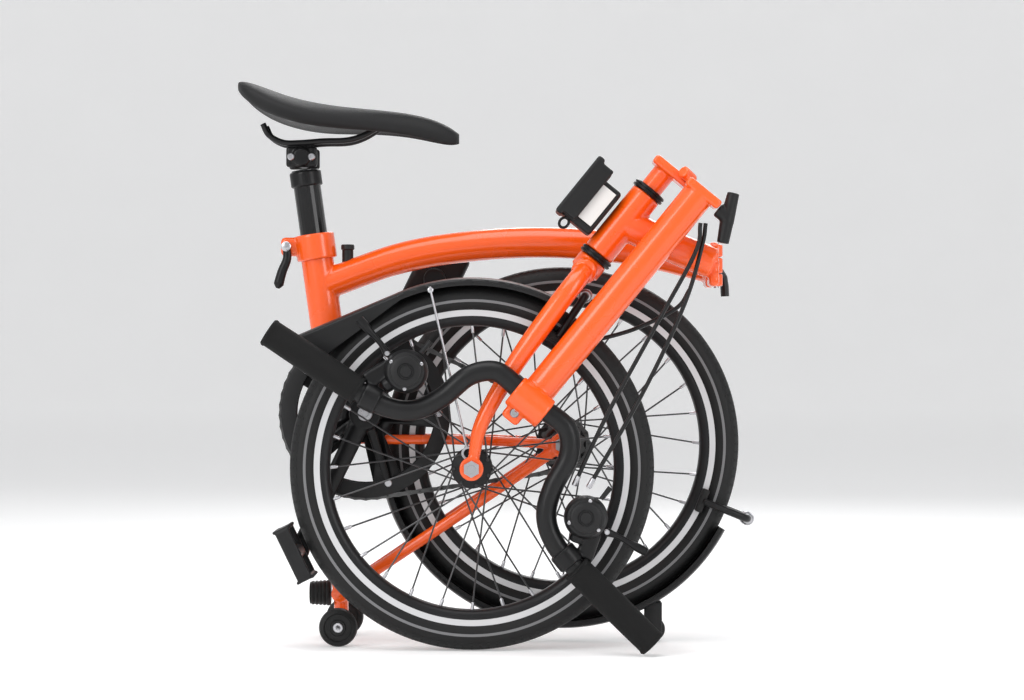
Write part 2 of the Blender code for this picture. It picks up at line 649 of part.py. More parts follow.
def make_rear_frame():
    frame = rod("rear_frame", off(PIVOT, y=-0.0225), off(PIVOT, y=-0.0165), 0.013, 12)
    parts = [rod("pivot_cheek", off(PIVOT, y=0.0165), off(PIVOT, y=0.0225), 0.013, 16)]
    parts.append(rod("pivot_pin", off(PIVOT, y=-0.0220), off(PIVOT, y=0.0220), 0.0050, 12))
    for side in (-1, 1):
        wide, narrow = side * STAY_HALF, side * 0.0254
        chainstay = [off(PIVOT, y=side * 0.0228), off(PIVOT, x=0.040, y=narrow, z=-0.001),
                     off(PIVOT, x=0.165, y=narrow, z=-0.002), off(PIVOT, x=0.235, y=side * 0.040, z=-0.004),
                     off(REAR_AXLE, y=wide)]
        seatstay = [off(CORNER, y=side * 0.016), off(CORNER, x=0.040, y=side * 0.026, z=0.027),
                    off(CORNER, x=0.150, y=side * 0.044, z=0.101), off(REAR_AXLE, y=wide)]
        parts.append(pipe("rear_chainstay" + str(side), chainstay, 0.0058, pieces=1))
        parts.append(pipe("rear_seatstay" + str(side), seatstay, 0.0068, pieces=1))
        parts.append(rod("dropout_" + str(side), off(REAR_AXLE, y=wide - side * DROPOUT_HALF),
                         off(REAR_AXLE, y=wide + side * DROPOUT_HALF), 0.0150, 16))
        parts.append(rod("strut_" + str(side), off(PIVOT, x=-0.003, y=side * 0.0232),
                         off(CORNER, x=-0.002, y=side * 0.016), 0.0055, 12))
    parts.append(rod("corner_bar", off(CORNER, y=-0.022), off(CORNER, y=0.022), 0.0100, 16))
    parts.append(rod("roller_stem", CORNER, off(ROLLER_AXLE), 0.0085, 12))
    parts.append(rod("roller_axle", off(ROLLER_AXLE, y=-0.0745), off(ROLLER_AXLE, y=0.0745), 0.0040, 12))
    join(frame, parts)
    hole = rod("rear_axle_hole", off(REAR_AXLE, y=-0.09), off(REAR_AXLE, y=0.09), 0.0049, 12)
    cut(frame, [hole])
    paint(frame, "orange_paint")
    make_axle("rear_axle", REAR_AXLE, STAY_HALF + DROPOUT_HALF)
    block_piece = rod("suspension_block", off(CORNER, x=-0.0115), off(CORNER, x=-0.036), 0.0150, 20, 0.0130)
    paint(block_piece, "rubber")
    sprocket = turned("sprocket", [(SPROCKET_R, 0.0012), (SPROCKET_R, -0.0012), (0.0145, -0.0012), (0.0145, 0.0012)],
                      off(REAR_AXLE, y=CHAIN_Y - REAR_Y), (0, 1, 0), 24)
    paint(sprocket, "steel")


def make_rollers():
    for side, name in ((-1, "roller_right"), (1, "roller_left")):
        roller = turned(name, [(0.0044, 0.0085), (0.016, 0.0085), (ROLLER_R, 0.0055), (ROLLER_R, -0.0055),
                               (0.016, -0.0085), (0.0044, -0.0085)],
                        off(ROLLER_AXLE, y=side * 0.065), (0, 1, 0), 20)
        paint(roller, "rubber")
    small = turned("roller_guard", [(0.0034, 0.0060), (0.011, 0.0060), (SMALL_ROLLER_R, 0.0035),
                                    (SMALL_ROLLER_R, -0.0035), (0.011, -0.0060), (0.0034, -0.0060)],
                   SMALL_ROLLER, (0, 1, 0), 24)
    paint(small, "rubber")


def make_guard(name, axle, radius, start, end, flap=0.0, flap_deep=0.012):
    """Channel round the tyre, with a straight flap past its far end."""
    half, wall = 0.024, 0.0016
    stations = []
    steps = 10
    for k in range(steps + 1):
        angle = math.radians(start + (end - start) * k / steps)
        out = Vector((math.cos(angle), 0, math.sin(angle)))
        stations.append((axle + out * radius, out, 0.010))
    if flap:
        last, out, _ = stations[-1]
        along = Vector((-out.z, 0, out.x))
        for k in (1, 2, 3):
            stations.append((last + along * flap * k / 3, out, 0.010 + flap_deep * k / 3))

    def build(bm):
        rings = []
        for point, out, deep in stations:
            shape = ((-half, -deep), (-half, -0.004), (-half + 0.010, 0.0), (half - 0.010, 0.0), (half, -0.004),
                     (half, -deep), (half - wall, -deep), (half - wall, -0.0048), (half - 0.0105, -wall),
                     (-half + 0.0105, -wall), (-half + wall, -0.0048), (-half + wall, -deep))
            rings.append([bm.verts.new(point + out * r + Vector((0, y, 0))) for y, r in shape])
        for first, second in zip(rings, rings[1:]):
            count = len(first)
            for k in range(count):
                bm.faces.new((first[k], first[(k + 1) % count], second[(k + 1) % count], second[k]))
        bm.faces.new(rings[0])
        bm.faces.new(rings[-1])

    return smooth(mesh_object(name, build))


def make_guards():
    front = make_guard("front_mudguard", FRONT_AXLE, WHEEL_R + 0.009, 62, 113, 0.125, 0.030)
    paint(front, "black_plastic")
    rear = make_guard("rear_mudguard", REAR_AXLE, WHEEL_R + 0.009, -170, -28)
    ears = [block("roller_ear_" + str(side), (0.178, REAR_Y + side * 0.010, 0.0275), (0.020, 0.004, 0.037))
            for side in (-1, 1)]
    pin = rod("small_roller_pin", off(SMALL_ROLLER, y=-0.0115), off(SMALL_ROLLER, y=0.0115), 0.0030, 12)
    join(rear, [*ears, pin])
    paint(rear, "black_plastic")
    out = Vector((math.cos(math.radians(103)), 0, math.sin(math.radians(103))))
    side_y = Vector((0, -0.0262, 0))
    brace = rod("front_guard_stay", FRONT_AXLE + out * 0.210 + side_y, FRONT_AXLE + out * 0.024 + side_y, 0.0016, 6)
    paint(brace, "steel")


def make_brake(name, axle, angle, clear=0.026):
    """Caliper: two arms on one bolt that reach the rim past the tyre."""
    out = Vector((math.cos(math.radians(angle)), 0, math.sin(math.radians(angle))))
    top = axle + out * (WHEEL_R + clear)
    arms = []
    for side in (-1, 1):
        y = side * (TYRE_HALF + 0.0115)
        route = [top, off(top, y=y * 0.75) - out * 0.004, off(top, y=y) - out * (clear + 0.010),
                 off(axle, y=y) + out * 0.174]
        arms.append(pipe(name + "_arm" + str(side), route, 0.0048, pieces=2))
        arms.append(block(name + "_pad" + str(side), axle + out * 0.174 + Vector((0, side * 0.0200, 0)),
                          (0.028, 0.015, 0.009), turn_along(out)))
    body = rod(name, top - Vector((0, 0.012, 0)), top + Vector((0, 0.012, 0)), 0.0085, 12)
    join(body, arms)
    return paint(body, "black_metal")


def turn_along(out):
    """Rotation with local X square to this direction in the wheel's plane."""
    return Matrix((Vector((-out.z, 0, out.x)), Vector((0, 1, 0)), out)).transposed()


def make_cables():
    clip = Vector((0.229, POST_Y, 0.480))
    routes = {
        "cable_brake_right": [bar_point(1, 0.110, -0.3010, BAR_Y + 0.004), (0.160, -0.122, 0.295), (0.205, -0.112, 0.390),
                              (0.225, POST_Y - 0.004, 0.455), off(clip, y=-0.004)],
        "cable_shift_right": [bar_point(1, 0.096, -0.3090, BAR_Y + 0.004), (0.120, -0.126, 0.270), (0.175, -0.118, 0.370),
                              (0.217, POST_Y - 0.010, 0.447), off(clip, x=-0.006, y=-0.008)],
    }
    for name, route in routes.items():
        cable = pipe(name, route, 0.0024, pieces=3)
        paint(cable, "black_plastic")
    under = {
        "cable_frame_front": [(0.213, -0.0780, 0.407), (0.198, -0.0780, 0.386), (0.155, -0.0780, 0.364),
                              (0.115, -0.0780, 0.352), (0.092, -0.0780, 0.348)],
    }
    for name, route in under.items():
        cable = pipe(name, route, 0.0024, pieces=3)
        paint(cable, "black_plastic")


make_main_frame()
make_seat()
make_cranks()
make_chain()
make_wheel("front", FRONT_AXLE, FORK_HALF - FORK_END_HALF - 0.0005, 0.020)
make_wheel("rear", REAR_AXLE, STAY_HALF - DROPOUT_HALF - 0.0005, 0.0265)
make_front_frame()
make_fork()
make_handlepost()
make_bar()
make_rear_frame()
make_rollers()
make_guards()
make_brake("front_brake", FRONT_AXLE, 56.6)
make_brake("rear_brake", REAR_AXLE, -22)
make_cables()

root = bpy.data.objects.new("folding_bicycle_origin", None)
PARTS.objects.link(root)
root.location = TO_ORIGIN
for piece in [*PARTS.objects, *CUTTERS.objects]:
    if piece is not root:
        piece.parent = root
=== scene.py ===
"""Looks of the folding bicycle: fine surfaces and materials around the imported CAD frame."""

import json
import math

import bmesh
import bpy
from mathutils import Matrix, Vector


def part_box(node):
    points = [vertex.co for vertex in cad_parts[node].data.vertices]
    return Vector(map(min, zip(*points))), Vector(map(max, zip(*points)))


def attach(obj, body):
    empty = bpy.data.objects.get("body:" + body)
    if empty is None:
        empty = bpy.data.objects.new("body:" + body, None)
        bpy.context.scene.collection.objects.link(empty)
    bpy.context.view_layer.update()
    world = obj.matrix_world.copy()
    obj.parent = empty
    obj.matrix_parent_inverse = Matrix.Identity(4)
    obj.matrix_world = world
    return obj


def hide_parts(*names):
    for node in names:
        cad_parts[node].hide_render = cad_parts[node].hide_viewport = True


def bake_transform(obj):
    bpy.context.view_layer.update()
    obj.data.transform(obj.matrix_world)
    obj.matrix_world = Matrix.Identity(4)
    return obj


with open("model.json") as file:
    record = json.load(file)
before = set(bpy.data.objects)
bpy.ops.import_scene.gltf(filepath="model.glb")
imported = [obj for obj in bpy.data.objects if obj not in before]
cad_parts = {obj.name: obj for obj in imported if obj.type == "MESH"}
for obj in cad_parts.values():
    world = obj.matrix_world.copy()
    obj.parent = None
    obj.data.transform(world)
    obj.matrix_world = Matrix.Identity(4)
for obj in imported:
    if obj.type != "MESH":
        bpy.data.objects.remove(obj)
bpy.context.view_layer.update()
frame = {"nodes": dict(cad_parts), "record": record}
RECORD = frame["record"]
JOINTS = {joint["name"]: joint for joint in RECORD["behaviour"]["joints"]}


def joint_at(name):
    return Vector(JOINTS[name]["pos_m"])


# Places that everything is built from
FRONT = joint_at("front_wheel_spin")
REAR = joint_at("rear_wheel_spin")
CRANK = joint_at("crank_spin")
PIVOT = joint_at("rear_frame_pivot")
HEAD = joint_at("steering")
U = Vector(JOINTS["steering"]["axis"]).normalized()
N = Vector((U.z, 0, -U.x))
ACROSS = Vector((0, 1, 0))
FRONT_PLANE, POST_PLANE, BAR_PLANE = -0.055, -0.100, -0.1165
SHIFT = FRONT - Vector((-0.0316, FRONT_PLANE, 0.2063))

WHEEL_R = (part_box("front_tyre")[1].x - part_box("front_tyre")[0].x) / 2
POST_N = 0.045
TUBE_R = 0.018
VOXEL = 0.0016


def at(x, y, z):
    """Point in the part's own numbers, moved to where the pack puts its origin."""
    return Vector((x, y, z)) + SHIFT


def steer(n, y, u):
    """Point at n and u from the head point, in the plane y counted from the part's own middle."""
    return HEAD + N * n + U * u + ACROSS * (y - FRONT_PLANE)


def off(point, x=0.0, y=0.0, z=0.0):
    return Vector(point) + Vector((x, y, z))


# ---------------------------------------------------------------- meshes


def link(name, mesh):
    obj = bpy.data.objects.new(name, mesh)
    bpy.context.scene.collection.objects.link(obj)
    return obj


def from_bmesh(name, bm, angle=35):
    bmesh.ops.recalc_face_normals(bm, faces=bm.faces)
    mesh = bpy.data.meshes.new(name)
    bm.to_mesh(mesh)
    bm.free()
    mesh.shade_smooth()
    mesh.set_sharp_from_angle(angle=math.radians(angle))
    return link(name, mesh)


def turn_to(axis):
    return Vector((0, 0, 1)).rotation_difference(Vector(axis)).to_matrix().to_4x4()


def add_lathe(bm, profile, centre, axis, steps=64, closed=True):
    """Adds a solid of revolution: the profile is (radius, along)."""
    matrix = Matrix.Translation(centre) @ turn_to(axis)
    rings = []
    for radius, along in profile:
        if radius < 1e-7:
            rings.append([bm.verts.new(matrix @ Vector((0, 0, along)))] * steps)
            continue
        ring = []
        for k in range(steps):
            angle = 2 * math.pi * k / steps
            ring.append(bm.verts.new(matrix @ Vector((radius * math.cos(angle), radius * math.sin(angle), along))))
        rings.append(ring)
    pairs = list(zip(rings, rings[1:]))
    if closed:
        pairs.append((rings[-1], rings[0]))
    for first, second in pairs:
        for k in range(steps):
            corners = []
            for vert in (first[k], first[(k + 1) % steps], second[(k + 1) % steps], second[k]):
                if vert not in corners:
                    corners.append(vert)
            if len(corners) > 2:
                bm.faces.new(corners)


def rounded(radius, half, edge, bore=0.0):
    """Profile of a disc or barrel with rounded rims."""
    arc = []
    for k in range(5):
        angle = math.pi / 2 * k / 4
        arc.append((radius - edge + edge * math.cos(angle), half - edge + edge * math.sin(angle)))
    lower = [(r, -z) for r, z in arc]
    return [*lower[::-1], *arc, (bore, half)] if bore == 0 else [(bore, -half), *lower[::-1], *arc, (bore, half)]


def lathe(name, profile, centre, axis, steps=64, closed=True, angle=35):
    bm = bmesh.new()
    add_lathe(bm, profile, centre, axis, steps, closed)
    return from_bmesh(name, bm, angle)


def barrel(name, start, end, radius, edge=0.001, bore=0.0, steps=48):
    """Round bar between two points with rounded rims."""
    start, end = Vector(start), Vector(end)
    profile = rounded(radius, (end - start).length / 2, edge, bore)
    if bore == 0:
        profile = [(0, profile[0][1]), *profile]
    return lathe(name, profile, (start + end) / 2, end - start, steps, closed=bore > 0)


def curve_path(points, pieces):
    """Points of a Catmull-Rom curve through the given points."""
    points = [Vector(p) for p in points]
    ends = [2 * points[0] - points[1], *points, 2 * points[-1] - points[-2]]
    path = []
    for i in range(1, len(ends) - 2):
        a, b, c, d = ends[i - 1 : i + 3]
        for k in range(pieces):
            t = k / pieces
            path.append(0.5 * (2 * b + (c - a) * t + (2 * a - 5 * b + 4 * c - d) * t**2
                               + (3 * b - a - 3 * c + d) * t**3))
    return [*path, points[-1]]


def add_pipe(bm, points, radius, sides=24, pieces=8, wide=1.0):
    """Adds a tube along a smooth curve. radius is a number or a function of 0 to 1."""
    path = curve_path(points, pieces)
    size = radius if callable(radius) else (lambda t: radius)
    side = None
    rings = []
    for i, point in enumerate(path):
        ahead = path[min(i + 1, len(path) - 1)] - path[max(i - 1, 0)]
        ahead.normalize()
        if side is None:
            side = ahead.orthogonal().normalized() if abs(ahead.y) > 0.9 else ACROSS.copy()
        side = (side - ahead * side.dot(ahead)).normalized()
        up = ahead.cross(side)
        r = size(i / (len(path) - 1))
        rings.append([bm.verts.new(point + side * (r * wide * math.cos(2 * math.pi * k / sides))
                                   + up * (r * math.sin(2 * math.pi * k / sides))) for k in range(sides)])
    for first, second in zip(rings, rings[1:]):
        for k in range(sides):
            bm.faces.new((first[k], first[(k + 1) % sides], second[(k + 1) % sides], second[k]))
    bm.faces.new(rings[0])
    bm.faces.new(rings[-1])


def pipe(name, points, radius, sides=24, pieces=8, wide=1.0):
    bm = bmesh.new()
    add_pipe(bm, points, radius, sides, pieces, wide)
    return from_bmesh(name, bm)


def block(name, centre, size, rotation=None, bevel=0.001, segments=3):
    bm = bmesh.new()
    bmesh.ops.create_cube(bm, size=1, matrix=Matrix.Diagonal((*size, 1)))
    bmesh.ops.bevel(bm, geom=bm.edges[:], offset=bevel, segments=segments, affect="EDGES", profile=0.5)
    turned = rotation.to_4x4() if rotation is not None else Matrix.Identity(4)
    bmesh.ops.transform(bm, matrix=Matrix.Translation(centre) @ turned, verts=bm.verts)
    return from_bmesh(name, bm)


def steer_axes():
    """Rotation with local X along N, Y across and Z along U."""
    return Matrix((N, ACROSS, U)).transposed()


def merged(name, pieces):
    """One object from several, with its data at the world's origin."""
    bm = bmesh.new()
    for piece in pieces:
        bm.from_mesh(piece.data)
        mesh = piece.data
        bpy.data.objects.remove(piece, do_unlink=True)
        bpy.data.meshes.remove(mesh)
    mesh = bpy.data.meshes.new(name)
    bm.to_mesh(mesh)
    bm.free()
    return link(name, mesh)


def applied(obj):
    """Gives the object its evaluated mesh and drops the modifiers."""
    graph = bpy.context.evaluated_depsgraph_get()
    mesh = bpy.data.meshes.new_from_object(obj.evaluated_get(graph))
    obj.modifiers.clear()
    obj.data = mesh
    return obj


def carve(obj, cutters):
    """Cuts the cutters out of an object."""
    for cutter in cutters:
        modifier = obj.modifiers.new("cut", "BOOLEAN")
        modifier.operation = "DIFFERENCE"
        modifier.solver = "EXACT"
        modifier.object = cutter
    applied(obj)
    for cutter in cutters:
        bpy.data.objects.remove(cutter, do_unlink=True)
    return obj


def welded(name, pieces, voxel=VOXEL, rounds=5, cutters=()):
    """Fuses shapes into one skin with small weld fillets between them."""
    obj = merged(name, pieces)
    remesh = obj.modifiers.new("skin", "REMESH")
    remesh.mode = "VOXEL"
    remesh.voxel_size = voxel
    relax = obj.modifiers.new("relax", "SMOOTH")
    relax.factor = 0.6
    relax.iterations = rounds
    applied(obj)
    if cutters:
        carve(obj, cutters)
    obj.data.shade_smooth()
    return obj


# ---------------------------------------------------------------- materials


def node(tree, kind, **values):
    made = tree.nodes.new(kind)
    for key, value in values.items():
        setattr(made, key, value)
    return made


def finish_of(name, base, rough, metal=0.0, coat=0.0, vary=0.12, grain=400.0, bump=0.05, mottle=14.0,
              rough_vary=0.08, specular=0.3, voronoi=False, depth=0.0004):
    """Procedural finish: mottled colour, uneven gloss and a fine surface grain."""
    material = bpy.data.materials.new(name)
    material.use_nodes = True
    tree = material.node_tree
    shader = tree.nodes["Principled BSDF"]
    shader.inputs["Metallic"].default_value = metal
    shader.inputs["Coat Weight"].default_value = coat
    shader.inputs["Coat Roughness"].default_value = 0.06
    shader.inputs["Specular IOR Level"].default_value = specular
    place = node(tree, "ShaderNodeTexCoord")
    broad = node(tree, "ShaderNodeTexNoise")
    broad.inputs["Scale"].default_value = mottle
    broad.inputs["Detail"].default_value = 5
    tree.links.new(place.outputs["Object"], broad.inputs["Vector"])
    ramp = node(tree, "ShaderNodeValToRGB")
    ramp.color_ramp.elements[0].position = 0.3
    ramp.color_ramp.elements[1].position = 0.7
    ramp.color_ramp.elements[0].color = (*[c * (1 - vary) for c in base], 1)
    ramp.color_ramp.elements[1].color = (*[min(c * (1 + vary), 1) for c in base], 1)
    tree.links.new(broad.outputs["Fac"], ramp.inputs["Fac"])
    tree.links.new(ramp.outputs["Color"], shader.inputs["Base Color"])
    gloss = node(tree, "ShaderNodeMapRange")
    gloss.inputs["To Min"].default_value = max(rough - rough_vary, 0.02)
    gloss.inputs["To Max"].default_value = rough + rough_vary
    tree.links.new(broad.outputs["Fac"], gloss.inputs["Value"])
    tree.links.new(gloss.outputs["Result"], shader.inputs["Roughness"])
    fine = node(tree, "ShaderNodeTexVoronoi" if voronoi else "ShaderNodeTexNoise")
    fine.inputs["Scale"].default_value = grain
    tree.links.new(place.outputs["Object"], fine.inputs["Vector"])
    raise_it = node(tree, "ShaderNodeBump")
    raise_it.inputs["Strength"].default_value = bump
    raise_it.inputs["Distance"].default_value = depth
    tree.links.new(fine.outputs["Distance" if voronoi else "Fac"], raise_it.inputs["Height"])
    tree.links.new(raise_it.outputs["Normal"], shader.inputs["Normal"])
    return material


def radius_from(tree, axle):
    """Distance from the wheel's axle, as a socket."""
    place = node(tree, "ShaderNodeTexCoord")
    shift = node(tree, "ShaderNodeVectorMath", operation="SUBTRACT")
    shift.inputs[1].default_value = axle
    flat = node(tree, "ShaderNodeVectorMath", operation="MULTIPLY")
    flat.inputs[1].default_value = (1, 0, 1)
    length = node(tree, "ShaderNodeVectorMath", operation="LENGTH")
    tree.links.new(place.outputs["Object"], shift.inputs[0])
    tree.links.new(shift.outputs["Vector"], flat.inputs[0])
    tree.links.new(flat.outputs["Vector"], length.inputs[0])
    return length.outputs["Value"]


def banded(material, axle, inner, outer, colour, rough=None):
    """Paints a ring between two radii on a finish made by finish_of."""
    tree = material.node_tree
    shader = tree.nodes["Principled BSDF"]
    radius = radius_from(tree, axle)
    inside = node(tree, "ShaderNodeMath", operation="GREATER_THAN")
    inside.inputs[1].default_value = inner
    outside = node(tree, "ShaderNodeMath", operation="LESS_THAN")
    outside.inputs[1].default_value = outer
    both = node(tree, "ShaderNodeMath", operation="MULTIPLY")
    tree.links.new(radius, inside.inputs[0])
    tree.links.new(radius, outside.inputs[0])
    tree.links.new(inside.outputs[0], both.inputs[0])
    tree.links.new(outside.outputs[0], both.inputs[1])
    mix = node(tree, "ShaderNodeMix", data_type="RGBA")
    before = shader.inputs["Base Color"].links[0].from_socket
    tree.links.new(both.outputs[0], mix.inputs["Factor"])
    tree.links.new(before, mix.inputs["A"])
    mix.inputs["B"].default_value = (*colour, 1)
    tree.links.new(mix.outputs["Result"], shader.inputs["Base Color"])
    if rough is not None:
        blend = node(tree, "ShaderNodeMix", data_type="FLOAT")
        tree.links.new(both.outputs[0], blend.inputs["Factor"])
        tree.links.new(shader.inputs["Roughness"].links[0].from_socket, blend.inputs["A"])
        blend.inputs["B"].default_value = rough
        tree.links.new(blend.outputs["Result"], shader.inputs["Roughness"])
    return material


ORANGE = finish_of("orange_enamel", (0.90, 0.100, 0.003), 0.27, coat=0.5, vary=0.04, grain=260, bump=0.025,
                   rough_vary=0.04, specular=0.5)
BLACK_METAL = finish_of("black_anodised", (0.008, 0.008, 0.0085), 0.32, metal=0.2, vary=0.25, grain=900, bump=0.06)
SATIN = finish_of("satin_black_tube", (0.007, 0.007, 0.0075), 0.36, vary=0.15, grain=1200, bump=0.05)
PLASTIC = finish_of("black_moulded", (0.009, 0.009, 0.0095), 0.44, vary=0.15, grain=1500, bump=0.18, voronoi=True)
SADDLE = finish_of("saddle_cover", (0.007, 0.007, 0.0075), 0.55, vary=0.2, grain=1600, bump=0.35, voronoi=True)
FOAM = finish_of("grip_foam", (0.006, 0.006, 0.006), 0.80, vary=0.25, grain=1300, bump=0.5, voronoi=True,
                 specular=0.25)
RUBBER = finish_of("roller_rubber", (0.007, 0.007, 0.007), 0.50, vary=0.2, grain=700, bump=0.15)
STEEL = finish_of("plated_steel", (0.50, 0.50, 0.52), 0.28, metal=1.0, vary=0.15, grain=600, bump=0.08)
DARK_STEEL = finish_of("oiled_steel", (0.10, 0.10, 0.10), 0.35, metal=1.0, vary=0.4, grain=500, bump=0.15)
SEATPOST_BLACK = finish_of("polished_black_post", (0.006, 0.006, 0.0065), 0.14, vary=0.1, grain=300, bump=0.02,
                           metal=0.2, coat=0.4)
LABEL = finish_of("blank_label", (0.72, 0.72, 0.70), 0.45, vary=0.03, grain=200, bump=0.02)
MUDGUARD = finish_of("mudguard_black", (0.009, 0.009, 0.0095), 0.40, vary=0.12, grain=900, bump=0.12)

SLOT_LOOK = {
    "orange_paint": ORANGE, "black_metal": BLACK_METAL, "black_plastic": PLASTIC, "saddle_cover": SADDLE,
    "tyre_rubber": RUBBER, "grip_foam": FOAM, "roller_rubber": RUBBER, "rim_alloy": STEEL, "steel": STEEL,
}


def show(piece, look, body, replaces=()):
    """Gives a piece its finish, its body and the CAD nodes that it stands for."""
    piece.data.materials.clear()
    piece.data.materials.append(look)
    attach(piece, body)
    if replaces:
        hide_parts(*replaces)
    return piece


# ---------------------------------------------------------------- main frame, saddle and seatpost

REAR_Y = 0.050
SEAT_LINE = Vector((0.139, 0, -0.990)).normalized()


def seat_at(along):
    return at(-0.217, REAR_Y, 0.470) + SEAT_LINE * along


def main_frame():
    """Arched main tube, seat tube, shell and hinge end as one welded and painted skin."""
    arch = [at(x, REAR_Y, z) for x, z in ((-0.205, 0.415), (-0.113, 0.447), (-0.023, 0.461), (0.068, 0.464),
                                          (0.158, 0.455), (0.240, 0.436))]
    shell = at(-0.155, REAR_Y, 0.266)
    plate = at(0.2418, 0.030, 0.436)
    pin = at(0.248, -0.0025, 0.436)
    pieces = [
        pipe("tube", arch, TUBE_R, sides=48, pieces=10),
        barrel("seat_tube", seat_at(0), seat_at(0.225), 0.0190),
        barrel("shell", off(shell, y=-0.025), off(shell, y=0.034), 0.0170),
        block("gusset", at(-0.172, REAR_Y, 0.264), (0.020, 0.030, 0.020), bevel=0.004),
        barrel("lug", off(PIVOT, y=-0.016), off(PIVOT, y=0.016), 0.013),
        block("lug_web", at(-0.203, REAR_Y, 0.244), (0.026, 0.024, 0.020), bevel=0.004),
        block("plate", plate, (0.011, 0.046, 0.050), bevel=0.004),
        barrel("knuckle", off(pin, z=-0.009), off(pin, z=0.009), 0.0075),
        block("web", at(0.2416, 0.006, 0.436), (0.009, 0.018, 0.017), bevel=0.002),
    ]
    ribs = [block("rib", off(plate, x=0.0025, y=0.0, z=step * 0.0105), (0.0075, 0.0475, 0.0028), bevel=0.001)
            for step in (-2, -1, 0, 1, 2)]
    cutters = [
        barrel("bore", seat_at(-0.02), seat_at(0.26), 0.0166),
        barrel("shell_bore", off(shell, y=-0.05), off(shell, y=0.05), 0.0094),
        barrel("lug_bore", off(PIVOT, y=-0.05), off(PIVOT, y=0.05), 0.0056),
        barrel("pin_bore", off(pin, z=-0.05), off(pin, z=0.05), 0.0036),
    ]
    skin = welded("frame_skin", pieces + ribs, voxel=0.0014, cutters=cutters)
    show(skin, ORANGE, "main_frame", ("main_frame",))
    top = at(-0.168, REAR_Y, 0.4515)
    cap = lathe("tube_stop", [(0, -0.012), (0.0066, -0.012), (0.0066, 0.004), (0.0078, 0.005), (0.0078, 0.009),
                              (0.0070, 0.0105), (0, 0.0108)], off(top, x=-0.010, z=0.0), (0, 0, 1), 40, closed=False)
    show(cap, PLASTIC, "main_frame")


def seat_clamp():
    ear = seat_at(0.011) + Vector((-0.027, 0, 0))
    bolt = seat_at(0.011) + Vector((-0.033, 0, 0))
    pieces = [barrel("collar", seat_at(-0.004), seat_at(0.026), 0.0235, edge=0.002),
              block("ear", ear, (0.026, 0.022, 0.022), bevel=0.005)]
    cutters = [barrel("bore", seat_at(-0.02), seat_at(0.05), 0.0194),
               barrel("bolt_bore", off(bolt, y=-0.05), off(bolt, y=0.05), 0.0036),
               block("slit", off(ear, x=-0.004), (0.030, 0.0022, 0.030), bevel=0.0002)]
    show(welded("seat_collar", pieces, voxel=0.0009, rounds=3, cutters=cutters), ORANGE, "main_frame",
         ("seat_clamp",))
    pin = merged("seat_clamp_pin", [
        lathe("pin", [(0, -0.019), (0.0030, -0.019), (0.0030, 0.016), (0, 0.016)], bolt, ACROSS, 24, closed=False),
        lathe("nut", [(0, 0.0115), (0.0056, 0.0115), (0.0062, 0.0125), (0.0062, 0.0165), (0.0050, 0.0178), (0, 0.0178)],
              bolt, ACROSS, 32, closed=False),
        lathe("cap", [(0, -0.0215), (0.0042, -0.0215), (0.0058, -0.0205), (0.0060, -0.0175), (0, -0.0175)],
              bolt, ACROSS, 32, closed=False)])
    pin.data.shade_smooth()
    pin.data.set_sharp_from_angle(angle=math.radians(35))
    show(pin, STEEL, "seat_lever")
    handle = pipe("seat_clamp_handle",
                  [off(bolt, y=-0.016, z=0.002), off(bolt, y=-0.0165, x=0.001, z=-0.014),
                   off(bolt, y=-0.0165, x=-0.005, z=-0.030), off(bolt, y=-0.016, x=-0.010, z=-0.0485)],
                  lambda t: 0.0046 + 0.0014 * t - 0.004 * max(t - 0.93, 0) / 0.07, sides=24, pieces=8, wide=0.8)
    show(handle, BLACK_METAL, "seat_lever", ("seat_clamp_lever",))


